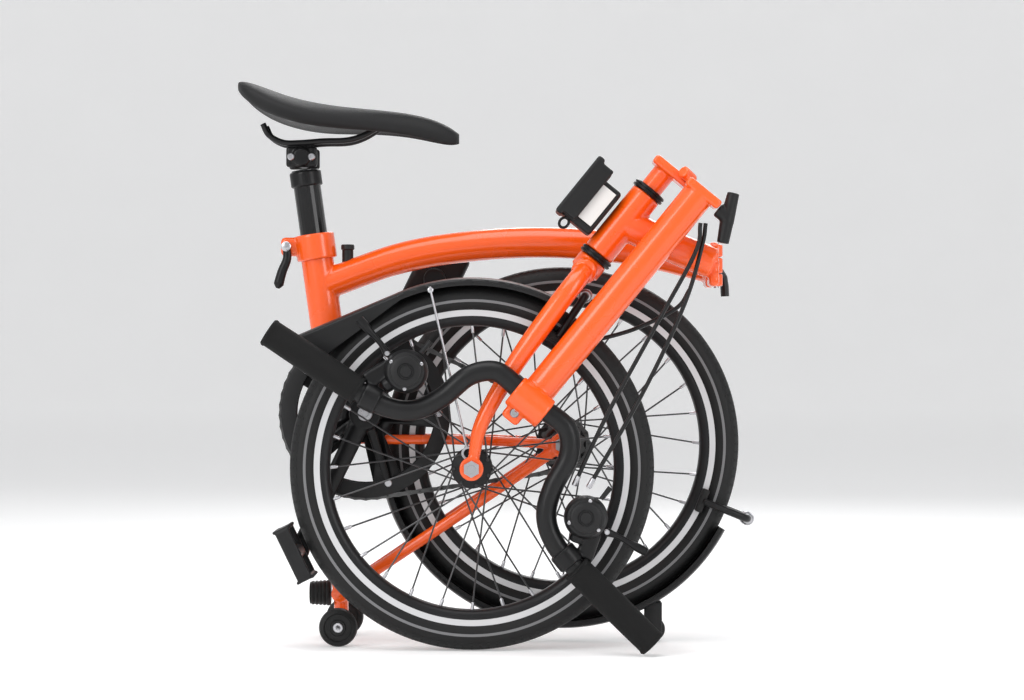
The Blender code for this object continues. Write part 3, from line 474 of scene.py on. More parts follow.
def saddle():
    """Crowned shell in one subdivided surface: a swept tail, a waist and a narrow dropped nose."""
    # along X, half width, top at the middle, top at the edge, underside
    stations = ((-0.3045, 0.030, 0.6500, 0.6480, 0.6420), (-0.300, 0.050, 0.6512, 0.6470, 0.6330),
                (-0.290, 0.064, 0.6500, 0.6430, 0.6230), (-0.272, 0.072, 0.6440, 0.6330, 0.6110),
                (-0.248, 0.0725, 0.6350, 0.6220, 0.6020), (-0.222, 0.068, 0.6285, 0.6150, 0.5960),
                (-0.195, 0.057, 0.6240, 0.6110, 0.5930), (-0.165, 0.042, 0.6210, 0.6090, 0.5920),
                (-0.135, 0.030, 0.6185, 0.6070, 0.5905), (-0.105, 0.0225, 0.6150, 0.6030, 0.5870),
                (-0.078, 0.0190, 0.6085, 0.5965, 0.5810), (-0.058, 0.0150, 0.5990, 0.5890, 0.5770),
                (-0.0475, 0.0080, 0.5905, 0.5860, 0.5790))
    fall = at(0, REAR_Y, 0)
    bm = bmesh.new()
    rings = []
    for x, half, top, edge, low in stations:
        outline = ((0.0, top), (0.34, top - (top - edge) * 0.10), (0.66, top - (top - edge) * 0.42),
                   (0.90, edge), (1.0, edge - (edge - low) * 0.35), (0.965, edge - (edge - low) * 0.80),
                   (0.86, low), (0.80, low + 0.0030), (0.40, low + 0.0060), (0.0, low + 0.0070))
        right = [(half * y, z) for y, z in outline]
        ring = right + [(-y, z) for y, z in right[-2:0:-1]]
        rings.append([bm.verts.new(fall + Vector((x, y, z))) for y, z in ring])
    count = len(rings[0])
    for first, second in zip(rings, rings[1:]):
        for k in range(count):
            bm.faces.new((first[k], first[(k + 1) % count], second[(k + 1) % count], second[k]))
    for ring in (rings[0], rings[-1]):
        half_count = count // 2
        for k in range(half_count):
            quad = [ring[k], ring[k + 1], ring[count - k - 1], ring[(count - k) % count]]
            face = []
            for vert in quad:
                if vert not in face:
                    face.append(vert)
            if len(face) > 2:
                bm.faces.new(face)
    pad = from_bmesh("saddle_pad", bm, angle=180)
    layer = pad.modifiers.new("rounding", "SUBSURF")
    layer.levels = layer.render_levels = 3
    applied(pad)
    pad.data.shade_smooth()
    show(pad, SADDLE, "seat", ("saddle",))
    # Shell under the pad, with the rim that the cover is drawn over
    bm = bmesh.new()
    rings = []
    for x, half, top, edge, low in stations[1:-1]:
        ring = []
        for k in range(25):
            y = -half * 0.80 + 2 * half * 0.80 * k / 24
            ring.append(bm.verts.new(fall + Vector((x, y, low + 0.0040 + 0.0025 * (1 - (y / half) ** 2)))))
        rings.append(ring)
    for first, second in zip(rings, rings[1:]):
        for k in range(24):
            bm.faces.new((first[k], first[k + 1], second[k + 1], second[k]))
    base = from_bmesh("saddle_base", bm)
    thick = base.modifiers.new("thickness", "SOLIDIFY")
    thick.thickness = 0.003
    thick.offset = 1
    applied(base)
    show(base, PLASTIC, "seat")


def seat_fittings():
    """Clamp with side plates and bolts under the saddle, and its two wire rails."""
    head = seat_at(-0.0935)
    pieces = [barrel("cradle", off(head, y=-0.030), off(head, y=0.030), 0.0105, edge=0.002),
              barrel("socket", seat_at(-0.078), seat_at(-0.060), 0.0185, edge=0.0015)]
    pieces += [block("cheek", off(head, y=side * 0.0225), (0.036, 0.009, 0.024), bevel=0.003) for side in (-1, 1)]
    clamp = welded("saddle_cradle", pieces, voxel=0.0011, rounds=3,
                   cutters=[barrel("post_bore", seat_at(-0.0798), seat_at(-0.03), 0.0163)])
    show(clamp, BLACK_METAL, "seat", ("saddle_clamp",))
    bolts = []
    for side in (-1, 1):
        for x in (-0.012, 0.012):
            bolts.append(lathe("bolt", [(0, 0.0), (0.0042, 0.0), (0.0042, 0.0036), (0.0034, 0.0046), (0.0022, 0.0046),
                                        (0.0022, 0.0020), (0, 0.0020)], off(head, x=x, y=side * 0.0270),
                               (0, side, 0), 20, closed=False))
    bolts = merged("saddle_cradle_bolts", bolts)
    show(bolts, STEEL, "seat")
    for side, name in ((-1, "right"), (1, "left")):
        y = REAR_Y + side * 0.0225
        route = [at(-0.275, y, 0.601), at(-0.268, y, 0.588), at(-0.252, y, 0.5795), at(-0.232, y, 0.579),
                 at(-0.205, y, 0.581), at(-0.178, y, 0.582), at(-0.158, REAR_Y + side * 0.019, 0.588),
                 at(-0.138, REAR_Y + side * 0.0145, 0.600)]
        show(pipe("saddle_wire_" + name, route, 0.0034, sides=20, pieces=6), SATIN, "seat",
             ("saddle_rail_" + name,))


main_frame()
seat_clamp()
saddle()
seat_fittings()


# ---------------------------------------------------------------- front frame, fork, handlepost and bar

HINGE_LINE = (N + ACROSS).normalized()


BAR_HALF = ((0, -0.268), (0.026, -0.264), (0.052, -0.266), (0.071, -0.288), (0.079, -0.325), (0.092, -0.353),
            (0.115, -0.370), (0.150, -0.378), (0.270, -0.390))


def bar_point(side, across, high, y=BAR_PLANE):
    return steer(POST_N + side * across, y, high)


def hinge_point(along):
    return steer(POST_N / 2, (FRONT_PLANE + POST_PLANE) / 2, 0.0402) + HINGE_LINE * along


def front_frame():
    pin = at(0.248, -0.0025, 0.436)
    plate = at(0.2418, -0.036, 0.436)
    pieces = [
        barrel("head_tube", steer(0, FRONT_PLANE, -0.004), steer(0, FRONT_PLANE, -0.090), 0.0180),
        pipe("arm", [at(0.140, FRONT_PLANE, 0.482), at(0.190, FRONT_PLANE, 0.458), at(0.240, FRONT_PLANE, 0.437)],
             TUBE_R, sides=48, pieces=10),
        block("plate", plate, (0.011, 0.040, 0.050), bevel=0.004),
    ]
    pieces += [block("rib", off(plate, x=0.0025, z=step * 0.0105), (0.0075, 0.0415, 0.0028), bevel=0.001)
               for step in (-2, -1, 0, 1, 2)]
    for side in (-1, 1):
        pieces.append(barrel("knuckle", off(pin, z=side * 0.0095), off(pin, z=side * 0.024), 0.0075))
        pieces.append(block("web", at(0.2416, -0.013, 0.436 + side * 0.0170), (0.009, 0.022, 0.0135), bevel=0.002))
    cutters = [barrel("head_bore", steer(0, FRONT_PLANE, 0.02), steer(0, FRONT_PLANE, -0.12), 0.0146),
               barrel("pin_bore", off(pin, z=-0.05), off(pin, z=0.05), 0.0036)]
    show(welded("front_frame_skin", pieces, voxel=0.0014, cutters=cutters), ORANGE, "front_frame",
         ("front_frame",))
    for name, high, deep, body in (("headset_upper", 0.004, -0.0036, "front_frame"),
                                   ("headset_lower", -0.0904, -0.098, "front_frame")):
        half = (high - deep) / 2
        profile = [(0.0143, -half), (0.0186, -half), (0.0199, -half * 0.7), (0.0199, -half * 0.25), (0.0186, -half * 0.1),
                   (0.0186, half * 0.1), (0.0199, half * 0.25), (0.0199, half * 0.7), (0.0186, half), (0.0143, half)]
        show(lathe(name + "_rings", profile, steer(0, FRONT_PLANE, (high + deep) / 2), U, 72), BLACK_METAL, body,
             (name,))


def carrier():
    """Moulded block with a thin frame, a blank label plate and a ring lever under it."""
    turn = steer_axes()
    pieces = [block("core", steer(-0.043, FRONT_PLANE, -0.052), (0.044, 0.048, 0.060), turn, bevel=0.004),
              block("face", steer(-0.064, FRONT_PLANE, -0.044), (0.0095, 0.063, 0.079), turn, bevel=0.003),
              block("lip", steer(-0.0660, FRONT_PLANE, -0.0075), (0.0055, 0.060, 0.006), turn, bevel=0.002)]
    for side in (-1, 1):
        pieces.append(block("rail", steer(-0.054, FRONT_PLANE + side * 0.0285, -0.044), (0.020, 0.006, 0.070), turn,
                            bevel=0.002))
    cutters = [block("recess", steer(-0.043, FRONT_PLANE - 0.0250, -0.050), (0.036, 0.0030, 0.048), turn,
                     bevel=0.0006)]
    show(welded("carrier_body", pieces, voxel=0.0012, rounds=2, cutters=cutters), PLASTIC, "front_frame",
         ("carrier_block",))
    label = block("carrier_label", steer(-0.043, FRONT_PLANE - 0.0240, -0.050), (0.0340, 0.0010, 0.0455), turn,
                  bevel=0.0003)
    show(label, LABEL, "front_frame")
    # Ring lever below the block
    ring = []
    middle = steer(-0.052, FRONT_PLANE - 0.0200, -0.0880)
    for k in range(17):
        angle = 2 * math.pi * k / 16
        ring.append(middle + N * 0.0050 * math.cos(angle) + U * 0.0060 * math.sin(angle))
    lever = merged("carrier_release", [
        pipe("ring", ring, 0.0016, sides=12, pieces=3),
        barrel("stem", steer(-0.052, FRONT_PLANE - 0.0200, -0.0830), steer(-0.052, FRONT_PLANE - 0.0200, -0.0740),
               0.0024, edge=0.0005)])
    show(lever, BLACK_METAL, "front_frame")


def fork():
    crown = -0.116
    pieces = [
        barrel("steerer", steer(0, FRONT_PLANE, 0.030), steer(0, FRONT_PLANE, crown), 0.0130),
        barrel("crown", steer(0, FRONT_PLANE - 0.022, crown), steer(0, FRONT_PLANE + 0.022, crown), 0.0145,
               edge=0.004),
        barrel("race", steer(0, FRONT_PLANE, -0.0985), steer(0, FRONT_PLANE, crown), 0.0175, edge=0.0015),
        block("plate", steer(0.010, FRONT_PLANE, 0.0335), (0.058, 0.040, 0.011), steer_axes(), bevel=0.003),
    ]
    for side in (-1, 1):
        y = FRONT_PLANE + side * 0.037
        route = [steer(0, FRONT_PLANE + side * 0.016, crown), steer(0, y - side * 0.006, crown - 0.020),
                 steer(0.001, y, crown - 0.055), steer(0.006, y, -0.250), steer(0.018, y, -0.320),
                 off(FRONT, y=side * 0.037, x=0.002, z=0.010)]
        pieces.append(pipe("blade", route, lambda t: 0.0115 * (1.0 if t < 0.5 else 1.45 - 0.9 * t), sides=32, pieces=10))
        pieces.append(barrel("end", off(FRONT, y=side * 0.0305), off(FRONT, y=side * 0.0435), 0.0135))
    cutters = [barrel("axle_bore", off(FRONT, y=-0.09), off(FRONT, y=0.09), 0.0050),
               barrel("relief", hinge_point(-0.060), hinge_point(0.060), 0.0075)]
    show(welded("fork_skin", pieces, voxel=0.0013, cutters=cutters), ORANGE, "fork", ("fork",))


def handlepost():
    clamp = [steer(POST_N + side * 0.022, BAR_PLANE, -0.268) for side in (-1, 1)]
    pieces = [
        barrel("post", steer(POST_N, POST_PLANE, 0.031), steer(POST_N, POST_PLANE, -0.268), 0.0180),
        block("plate", steer(POST_N + 0.003, POST_PLANE, 0.0335), (0.046, 0.036, 0.011), steer_axes(), bevel=0.003),
        barrel("clamp", clamp[0], clamp[1], 0.0185, edge=0.002),
        block("ear", steer(POST_N - 0.006, BAR_PLANE + 0.004, -0.288), (0.022, 0.014, 0.022), steer_axes(),
              bevel=0.004),
        barrel("knuckle", hinge_point(-0.010), hinge_point(0.010), 0.0070),
        block("web", steer(POST_N / 2 + 0.010, (FRONT_PLANE + POST_PLANE) / 2 - 0.010, 0.0365),
              (0.016, 0.016, 0.007), steer_axes(), bevel=0.001),
    ]
    through = [bar_point(-1, *p) for p in reversed(BAR_HALF[1:4])] + [bar_point(1, *p) for p in BAR_HALF[:4]]
    cutters = [pipe("bar_bore", through, 0.0122, sides=32, pieces=6)]
    show(welded("handlepost_skin", pieces, voxel=0.0013, cutters=cutters), ORANGE, "handlepost",
         ("handlepost",))
    bolt = steer(POST_N - 0.006, BAR_PLANE + 0.004 - 0.007, -0.288)
    head = lathe("bar_clamp_bolt", [(0, -0.002), (0.0052, -0.002), (0.0052, 0.0030), (0.0044, 0.0040), (0.0026, 0.0040),
                                    (0.0026, 0.0012), (0, 0.0012)], bolt, -ACROSS, 6 * 8, closed=False)
    show(head, STEEL, "handlepost")
    # Knob that clamps the folding joint: a hub with two tapered wings
    knob = [barrel("hub", steer(POST_N + 0.0268, POST_PLANE, 0.030), steer(POST_N + 0.0405, POST_PLANE, 0.030),
                   0.0082, edge=0.0015)]
    for side in (-1, 1):
        start = off(steer(POST_N + 0.041, POST_PLANE, 0.030), x=-0.001 * side, z=-0.005 * side)
        tip = off(steer(POST_N + 0.042, POST_PLANE, 0.030), x=0.006 * side, z=0.028 * side)
        knob.append(pipe("wing", [start, (start + tip) / 2, tip], lambda t: 0.0084 - 0.0016 * t, sides=24, pieces=6))
    show(welded("post_clamp_knob", knob, voxel=0.0009, rounds=6), PLASTIC, "post_clamp",
         ("post_clamp_lever",))


def handlebar():
    points = [bar_point(-1, *p) for p in reversed(BAR_HALF[1:])] + [bar_point(1, *p) for p in BAR_HALF]
    show(pipe("bar_tube", points, 0.0114, sides=40, pieces=10), SATIN, "handlepost", ("handlebar",))
    for side, name in ((-1, "left"), (1, "right")):
        inner, outer = bar_point(side, 0.155, -0.3785), bar_point(side, 0.275, -0.3905)
        length = (outer - inner).length
        profile = [(0.0123, 0.0), (0.0158, 0.0), (0.0164, 0.0012), (0.0164, 0.0028), (0.0154, 0.0040)]
        for k in range(1, 18):
            profile.append((0.0156 + 0.0006 * math.sin(math.pi * k / 18), 0.0040 + (length - 0.0100) * k / 18))
        profile += [(0.0157, length - 0.0052), (0.0164, length - 0.0040), (0.0165, length - 0.0022),
                    (0.0150, length), (0, length), (0, length - 0.0028), (0.0123, length - 0.0028)]
        show(lathe("grip_foam_" + name, profile, inner, outer - inner, 64), FOAM, "handlepost",
             ("grip_" + name,))


front_frame()
carrier()
fork()
handlepost()
handlebar()


# ---------------------------------------------------------------- pods and levers on the bar


def pod(side, name):
    """Gear control housing with stepped discs, on the clamp that carries the brake lever."""
    centre = bar_point(side, 0.128, -0.328, BAR_PLANE - 0.014)
    profile = [(0, 0.0100), (0.0215, 0.0100), (0.0236, 0.0086), (0.0243, 0.0060), (0.0243, -0.0015), (0.0236, -0.0050),
               (0.0224, -0.0072), (0.0222, -0.0095), (0.0205, -0.0118), (0.0176, -0.0126), (0.0172, -0.0142),
               (0.0150, -0.0154), (0.0092, -0.0156), (0.0084, -0.0146), (0.0070, -0.0146), (0.0062, -0.0162),
               (0, -0.0163)]
    show(lathe("pod_housing_" + name, profile, off(centre, y=0.010), ACROSS, 72, closed=False), PLASTIC, "handlepost",
         ("control_pod_" + name,))
    pieces = [barrel("neck", bar_point(side, 0.136, -0.356), bar_point(side, 0.130, -0.337, BAR_PLANE - 0.004), 0.0085),
              barrel("collar", bar_point(side, 0.130, -0.3738), bar_point(side, 0.150, -0.3780), 0.0153, edge=0.002),
              block("perch", (bar_point(side, 0.150, -0.350, BAR_PLANE + 0.003)), (0.020, 0.013, 0.034),
                    steer_axes() @ Matrix.Rotation(math.radians(-20 * side), 3, "Y"), bevel=0.004)]
    bore = pipe("bore", [bar_point(side, *p) for p in BAR_HALF[4:9]], 0.0119, sides=32, pieces=6)
    show(welded("pod_mount_" + name, pieces, voxel=0.0011, rounds=5, cutters=[bore]), BLACK_METAL, "handlepost")
    screws = []
    for k in range(3):
        angle = math.radians(90 + 120 * k + 25 * side)
        spot = off(centre, y=-0.0022) + (N * math.cos(angle) + U * math.sin(angle)) * 0.0192
        screws.append(lathe("screw", [(0, 0), (0.0021, 0), (0.0021, 0.0007), (0.0015, 0.0012), (0, 0.0012)], spot,
                            -ACROSS, 20, closed=False))
    show(merged("pod_screws_" + name, screws), STEEL, "handlepost")
    pivot = bar_point(side, 0.157, -0.326, BAR_PLANE + 0.004)
    blade = [pivot, bar_point(side, 0.170, -0.322, BAR_PLANE + 0.004), bar_point(side, 0.188, -0.3190, BAR_PLANE + 0.004),
             bar_point(side, 0.205, -0.3160, BAR_PLANE + 0.004)]
    show(pipe("brake_blade_" + name, blade, lambda t: 0.0050 - 0.0018 * math.sin(math.pi * min(t * 1.3, 1.0)), sides=24,
              pieces=8), BLACK_METAL, "brake_" + name, ("brake_lever_" + name,))
    pin = lathe("brake_pin_" + name, [(0, -0.0052), (0.0026, -0.0052), (0.0030, -0.0046), (0.0030, 0.0046),
                                      (0.0026, 0.0052), (0, 0.0052)], pivot, ACROSS, 24, closed=False)
    show(pin, STEEL, "brake_" + name)
    tip = bar_point(side, 0.128, -0.2925, BAR_PLANE - 0.012)
    trigger = merged("shift_paddle_" + name, [
        pipe("arm", [bar_point(side, 0.128, -0.3015, BAR_PLANE - 0.012), tip,
                     bar_point(side, 0.128, -0.2850, BAR_PLANE - 0.012)],
             lambda t: 0.0026 + 0.0006 * t, sides=20, pieces=5, wide=1.1)])
    trigger.data.shade_smooth()
    show(trigger, PLASTIC, "shift_" + name, ("shift_lever_" + name,))


for side, name in ((-1, "left"), (1, "right")):
    pod(side, name)


# ---------------------------------------------------------------- rear frame, drive and pedals

CORNER = at(-0.186, REAR_Y, 0.056)
ROLLER_AXLE = at(-0.185, REAR_Y, 0.022)
SMALL_ROLLER = at(0.178, REAR_Y, 0.014)
CHAIN_PLANE = 0.016
RING_R, SPROCKET_R = 0.094, 0.026


def in_plane(centre, plane):
    """The centre moved across to this plane of the part."""
    return Vector((centre.x, plane + SHIFT.y, centre.z))


def rear_frame():
    pieces = [barrel("pin", off(PIVOT, y=-0.0220), off(PIVOT, y=0.0220), 0.0050)]
    for side in (-1, 1):
        wide, narrow = side * 0.046, side * 0.0254
        pieces.append(barrel("cheek", off(PIVOT, y=side * 0.0165), off(PIVOT, y=side * 0.0225), 0.0130))
        pieces.append(pipe("chainstay", [off(PIVOT, y=side * 0.0228), off(PIVOT, x=0.040, y=narrow, z=-0.001),
                                         off(PIVOT, x=0.165, y=narrow, z=-0.002),
                                         off(PIVOT, x=0.235, y=side * 0.040, z=-0.004), off(REAR, y=wide)], 0.0058,
                           sides=24, pieces=8))
        pieces.append(pipe("seatstay", [off(CORNER, y=side * 0.016), off(CORNER, x=0.040, y=side * 0.026, z=0.027),
                                        off(CORNER, x=0.150, y=side * 0.044, z=0.101), off(REAR, y=wide)], 0.0068,
                           sides=24, pieces=8))
        pieces.append(barrel("dropout", off(REAR, y=wide - side * 0.007), off(REAR, y=wide + side * 0.007), 0.0150,
                             edge=0.002))
        pieces.append(barrel("strut", off(PIVOT, x=-0.003, y=side * 0.0232), off(CORNER, x=-0.002, y=side * 0.016),
                             0.0055))
    pieces.append(barrel("corner", off(CORNER, y=-0.022), off(CORNER, y=0.022), 0.0100))
    pieces.append(barrel("stem", CORNER, ROLLER_AXLE, 0.0085))
    cutters = [barrel("axle_bore", off(REAR, y=-0.09), off(REAR, y=0.09), 0.0050)]
    show(welded("rear_frame_skin", pieces, voxel=0.0014, cutters=cutters), ORANGE, "rear_frame",
         ("rear_frame",))
    rod = barrel("roller_shaft", off(ROLLER_AXLE, y=-0.0742), off(ROLLER_AXLE, y=0.0742), 0.0040)
    show(rod, STEEL, "rear_frame")
    spring = off(CORNER, x=-0.0115)
    profile = [(0, 0.0), (0.0142, 0.0), (0.0149, 0.0010)]
    for k in range(5):
        base = 0.0020 + k * 0.0044
        profile += [(0.0149 - 0.0003 * k, base), (0.0151 - 0.0003 * k, base + 0.0018), (0.0138 - 0.0003 * k, base + 0.0034)]
    profile += [(0.0132, 0.0238), (0.0120, 0.0245), (0, 0.0245)]
    show(lathe("suspension_cone", profile, spring, (-1, 0, 0), 64, closed=False), RUBBER, "rear_frame",
         ("suspension_block",))


def rollers():
    for side, name in ((-1, "right"), (1, "left")):
        centre = off(ROLLER_AXLE, y=side * 0.065)
        profile = [(0.0044, 0.0083), (0.0085, 0.0085), (0.0092, 0.0070), (0.0150, 0.0070), (0.0165, 0.0085),
                   (0.0205, 0.0072), (0.0218, 0.0050), (0.0220, 0.0028), (0.0214, 0.0022), (0.0214, -0.0022),
                   (0.0220, -0.0028), (0.0218, -0.0050), (0.0205, -0.0072), (0.0165, -0.0085), (0.0150, -0.0070),
                   (0.0092, -0.0070), (0.0085, -0.0085), (0.0044, -0.0083)]
        show(lathe("castor_" + name, profile, centre, ACROSS, 64), RUBBER, "roller_" + name,
             ("roller_" + name,))
        bolt = [(0, 0.0), (0.0052, 0.0), (0.0056, 0.0006), (0.0050, 0.0012), (0, 0.0012)]
        show(lathe("castor_bolt_" + name, bolt, off(centre, y=side * 0.0080), (0, side, 0), 32, closed=False), STEEL,
             "roller_" + name)
    profile = [(0.0034, 0.0058), (0.0100, 0.0060), (0.0128, 0.0050), (0.0140, 0.0030), (0.0140, -0.0030),
               (0.0128, -0.0050), (0.0100, -0.0060), (0.0034, -0.0058)]
    show(lathe("castor_small", profile, SMALL_ROLLER, ACROSS, 56), RUBBER, "roller_guard",
         ("roller_guard",))


def extruded(name, outline, plane, half):
    """Outline in the XZ plane, made solid by this much on each side of the plane."""
    bm = bmesh.new()
    for y in (plane - half, plane + half):
        bm.faces.new([bm.verts.new((x, y + SHIFT.y, z)) for x, z in outline])
    bm.faces.ensure_lookup_table()
    first, second = list(bm.faces[0].verts), list(bm.faces[1].verts)
    for k in range(len(first)):
        m = (k + 1) % len(first)
        bm.faces.new((first[k], first[m], second[m], second[k]))
    return from_bmesh(name, bm)


def flat_plate(name, outline, plane, thick, holes=()):
    """Extruded plate with round or long holes given as outlines."""
    plate = extruded(name, outline, plane, thick / 2)
    return carve(plate, [extruded("hole", hole, plane, thick) for hole in holes])


def sprocket_outline(centre, radius, teeth):
    points = []
    for k in range(teeth * 6):
        turn = k % 6
        lift = (0.0, 0.0006, 0.0026, 0.0032, 0.0026, 0.0006)[turn]
        angle = 2 * math.pi * k / (teeth * 6)
        points.append((centre.x + (radius + lift) * math.cos(angle), centre.z + (radius + lift) * math.sin(angle)))
    return points


def drive():
    windows = []
    for k in range(5):
        middle = 2 * math.pi * (k + 0.5) / 5
        ring = []
        for step in range(9):
            angle = middle + math.radians(-24 + 48 * step / 8)
            ring.append((CRANK.x + 0.079 * math.cos(angle), CRANK.z + 0.079 * math.sin(angle)))
        for step in range(9):
            angle = middle + math.radians(15 - 30 * step / 8)
            ring.append((CRANK.x + 0.034 * math.cos(angle), CRANK.z + 0.034 * math.sin(angle)))
        windows.append(ring)
    bore = [(CRANK.x + 0.0170 * math.cos(a * math.pi / 12), CRANK.z + 0.0170 * math.sin(a * math.pi / 12))
            for a in range(24)]
    ring = flat_plate("ring_plate", sprocket_outline(CRANK, RING_R - 0.0020, 50), CHAIN_PLANE, 0.0022,
                      [*windows, bore])
    show(ring, BLACK_METAL, "cranks", ("chainring",))
    guard = lathe("ring_guard", [(0.0800, -0.0010), (0.0930, -0.0010), (0.0975, 0.0), (0.0930, 0.0008), (0.0800, 0.0008)],
                  in_plane(CRANK, CHAIN_PLANE - 0.0052), ACROSS, 120)
    show(guard, PLASTIC, "cranks")
    bolts = []
    for k in range(5):
        angle = 2 * math.pi * k / 5
        spot = in_plane(CRANK, CHAIN_PLANE - 0.0058) + Vector((math.cos(angle), 0, math.sin(angle))) * 0.0845
        bolts.append(lathe("bolt", [(0, 0), (0.0042, 0), (0.0042, 0.0012), (0.0034, 0.0018), (0, 0.0018)], spot, -ACROSS,
                           24, closed=False))
    show(merged("ring_bolts", bolts), STEEL, "cranks")
    teeth = sprocket_outline(REAR, SPROCKET_R - 0.0020, 13)
    hole = [(REAR.x + 0.0150 * math.cos(a * math.pi / 12), REAR.z + 0.0150 * math.sin(a * math.pi / 12))
            for a in range(24)]
    show(flat_plate("sprocket_plate", teeth, CHAIN_PLANE, 0.0022, [hole]), DARK_STEEL, "rear_wheel",
         ("sprocket",))


def chain():
    """Outer and inner links round the chainring and the sprocket."""
    along = Vector((REAR.x - CRANK.x, REAR.z - CRANK.z))
    lean = math.atan2(along.y, along.x)
    first, second = RING_R + 0.0040, SPROCKET_R + 0.0040
    spread = math.acos((first - second) / along.length)
    path = []
    for centre, radius, start, end, count in ((CRANK, first, spread, 2 * math.pi - spread, 80),
                                              (REAR, second, -spread, spread, 24)):
        for k in range(count + 1):
            angle = lean + start + (end - start) * k / count
            path.append(Vector((centre.x + radius * math.cos(angle), centre.z + radius * math.sin(angle))))
    path.append(path[0])
    lengths = [0.0]
    for a, b in zip(path, path[1:]):
        lengths.append(lengths[-1] + (b - a).length)
    links = 2 * round(lengths[-1] / 0.0127 / 2)

    def place(distance):
        distance %= lengths[-1]
        for k in range(len(path) - 1):
            if lengths[k + 1] >= distance:
                part = (distance - lengths[k]) / max(lengths[k + 1] - lengths[k], 1e-9)
                return path[k].lerp(path[k + 1], part)
        return path[0]

    pins = [place(lengths[-1] * k / links) for k in range(links)]
    bm = bmesh.new()
    for k in range(links):
        a, b = pins[k], pins[(k + 1) % links]
        run = (b - a).normalized()
        rise = Vector((-run.y, run.x))
        spot = 0.00235 if k % 2 else 0.00145
        shape = []
        for centre, facing in ((a, -1), (b, 1)):
            for step in range(5):
                angle = math.radians(-80 + 160 * step / 4)
                shape.append(centre + run * facing * 0.0029 * math.cos(angle) + rise * facing * 0.0029 * math.sin(angle))
            middle = (a + b) / 2
            shape.append(middle + rise * facing * 0.0021)
        for side in (-1, 1):
            near, far = (spot - 0.00035) * side, (spot + 0.00035) * side
            rings = [[bm.verts.new((p.x, CHAIN_PLANE + SHIFT.y + y, p.y)) for p in shape] for y in (near, far)]
            for ring in rings:
                bm.faces.new(ring)
            for m in range(len(shape)):
                n = (m + 1) % len(shape)
                bm.faces.new((rings[0][m], rings[0][n], rings[1][n], rings[1][m]))
        add_lathe(bm, [(0, -0.0027), (0.0012, -0.0027), (0.0012, -0.0011), (0.0024, -0.0011), (0.0024, 0.0011),
                       (0.0012, 0.0011), (0.0012, 0.0027), (0, 0.0027)],
                  Vector((a.x, CHAIN_PLANE + SHIFT.y, a.y)), ACROSS, steps=12, closed=False)
    piece = from_bmesh("chain_links", bm)
    piece.data.materials.append(DARK_STEEL)
    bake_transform(piece)
    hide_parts("chain")


def crank(name, node, body, plane, facing, turn):
    """Tapered forged arm between a boss and an eye."""
    hub = in_plane(CRANK, plane)
    end = in_plane(Vector((at(-0.232, 0, 0.109).x, 0, at(0, 0, 0.109).z)), plane)
    if turn:
        end = 2 * hub - end
    pieces = [barrel("boss", off(hub, y=-0.0055), off(hub, y=0.0075), 0.0190, edge=0.002),
              barrel("eye", off(end, y=-0.0055), off(end, y=0.0055), 0.0130, edge=0.0015),
              pipe("arm", [hub, (hub + end) / 2, end], lambda t: 0.0112 - 0.0016 * t, sides=32, pieces=10, wide=0.50)]
    if not turn:
        pieces.append(barrel("spindle", off(hub, y=0.006), off(hub, y=0.0875), 0.0088))
        for k in range(5):
            angle = 2 * math.pi * k / 5
            out = Vector((math.cos(angle), 0, math.sin(angle)))
            pieces.append(pipe("spider", [off(hub, y=0.004) + out * 0.012, off(hub, y=0.0056) + out * 0.050,
                                          off(hub, y=0.0060) + out * 0.082], lambda t: 0.0060 - 0.0016 * t, sides=20,
                               pieces=6, wide=0.45))
    show(welded(name, pieces, voxel=0.0012), BLACK_METAL, body, (node,))
    cap = lathe(name + "_bolt", [(0, 0), (0.0080, 0), (0.0086, 0.0008), (0.0080, 0.0016), (0.0040, 0.0016), (0.0036, 0.0004),
                                 (0, 0.0004)], off(hub, y=facing * 0.0062), (0, facing, 0), 48, closed=False)
    show(cap, STEEL, body)
    return end


def pedals(near, far):
    """Toothed cage pedal on the near side, and the folded leaf pedal on the far side."""
    centre = off(near, y=-0.047)
    tangent = Vector((FRONT.z - near.z, 0, near.x - FRONT.x)).normalized()
    lean = Vector((1, 0, 0)).rotation_difference(tangent).to_matrix()
    up = lean @ Vector((0, 0, 1))
    pieces = [barrel("core", off(centre, y=-0.032), off(centre, y=0.033), 0.0088, edge=0.002),
              barrel("stub", off(near, y=-0.0065), off(near, y=-0.020), 0.0060)]
    for side in (-1, 1):
        pieces.append(block("wall", off(centre, y=side * 0.0310), (0.062, 0.0065, 0.017), lean, bevel=0.0025))
        pieces.append(block("cage", centre + tangent * side * 0.0300, (0.0050, 0.066, 0.016), lean, bevel=0.0015))
        for step in range(7):
            spot = centre + tangent * side * 0.0312 + ACROSS * (-0.029 + 0.0097 * step)
            for rise in (-1, 1):
                pieces.append(block("tooth", spot + up * rise * 0.0085, (0.0034, 0.0046, 0.0046), lean, bevel=0.0008))
    show(welded("pedal_cage_right", pieces, voxel=0.0011, rounds=2), PLASTIC, "pedal_right",
         ("pedal_right",))
    turn = (near - in_plane(CRANK, 0.003)).rotation_difference(Vector((1, 0, 0))).inverted().to_matrix()
    leaf = [block("leaf", off(far, y=0.021), (0.078, 0.018, 0.058), turn, bevel=0.006),
            barrel("far_stub", off(far, y=0.0065), off(far, y=0.014), 0.0070)]
    slots = [block("slot", off(far, y=0.0285) + turn @ Vector((x, 0, 0)), (0.010, 0.010, 0.040), turn, bevel=0.002)
             for x in (-0.024, 0.0, 0.024)]
    show(welded("pedal_leaf_left", leaf, voxel=0.0012, rounds=3, cutters=slots), PLASTIC, "pedal_left",
         ("pedal_left",))


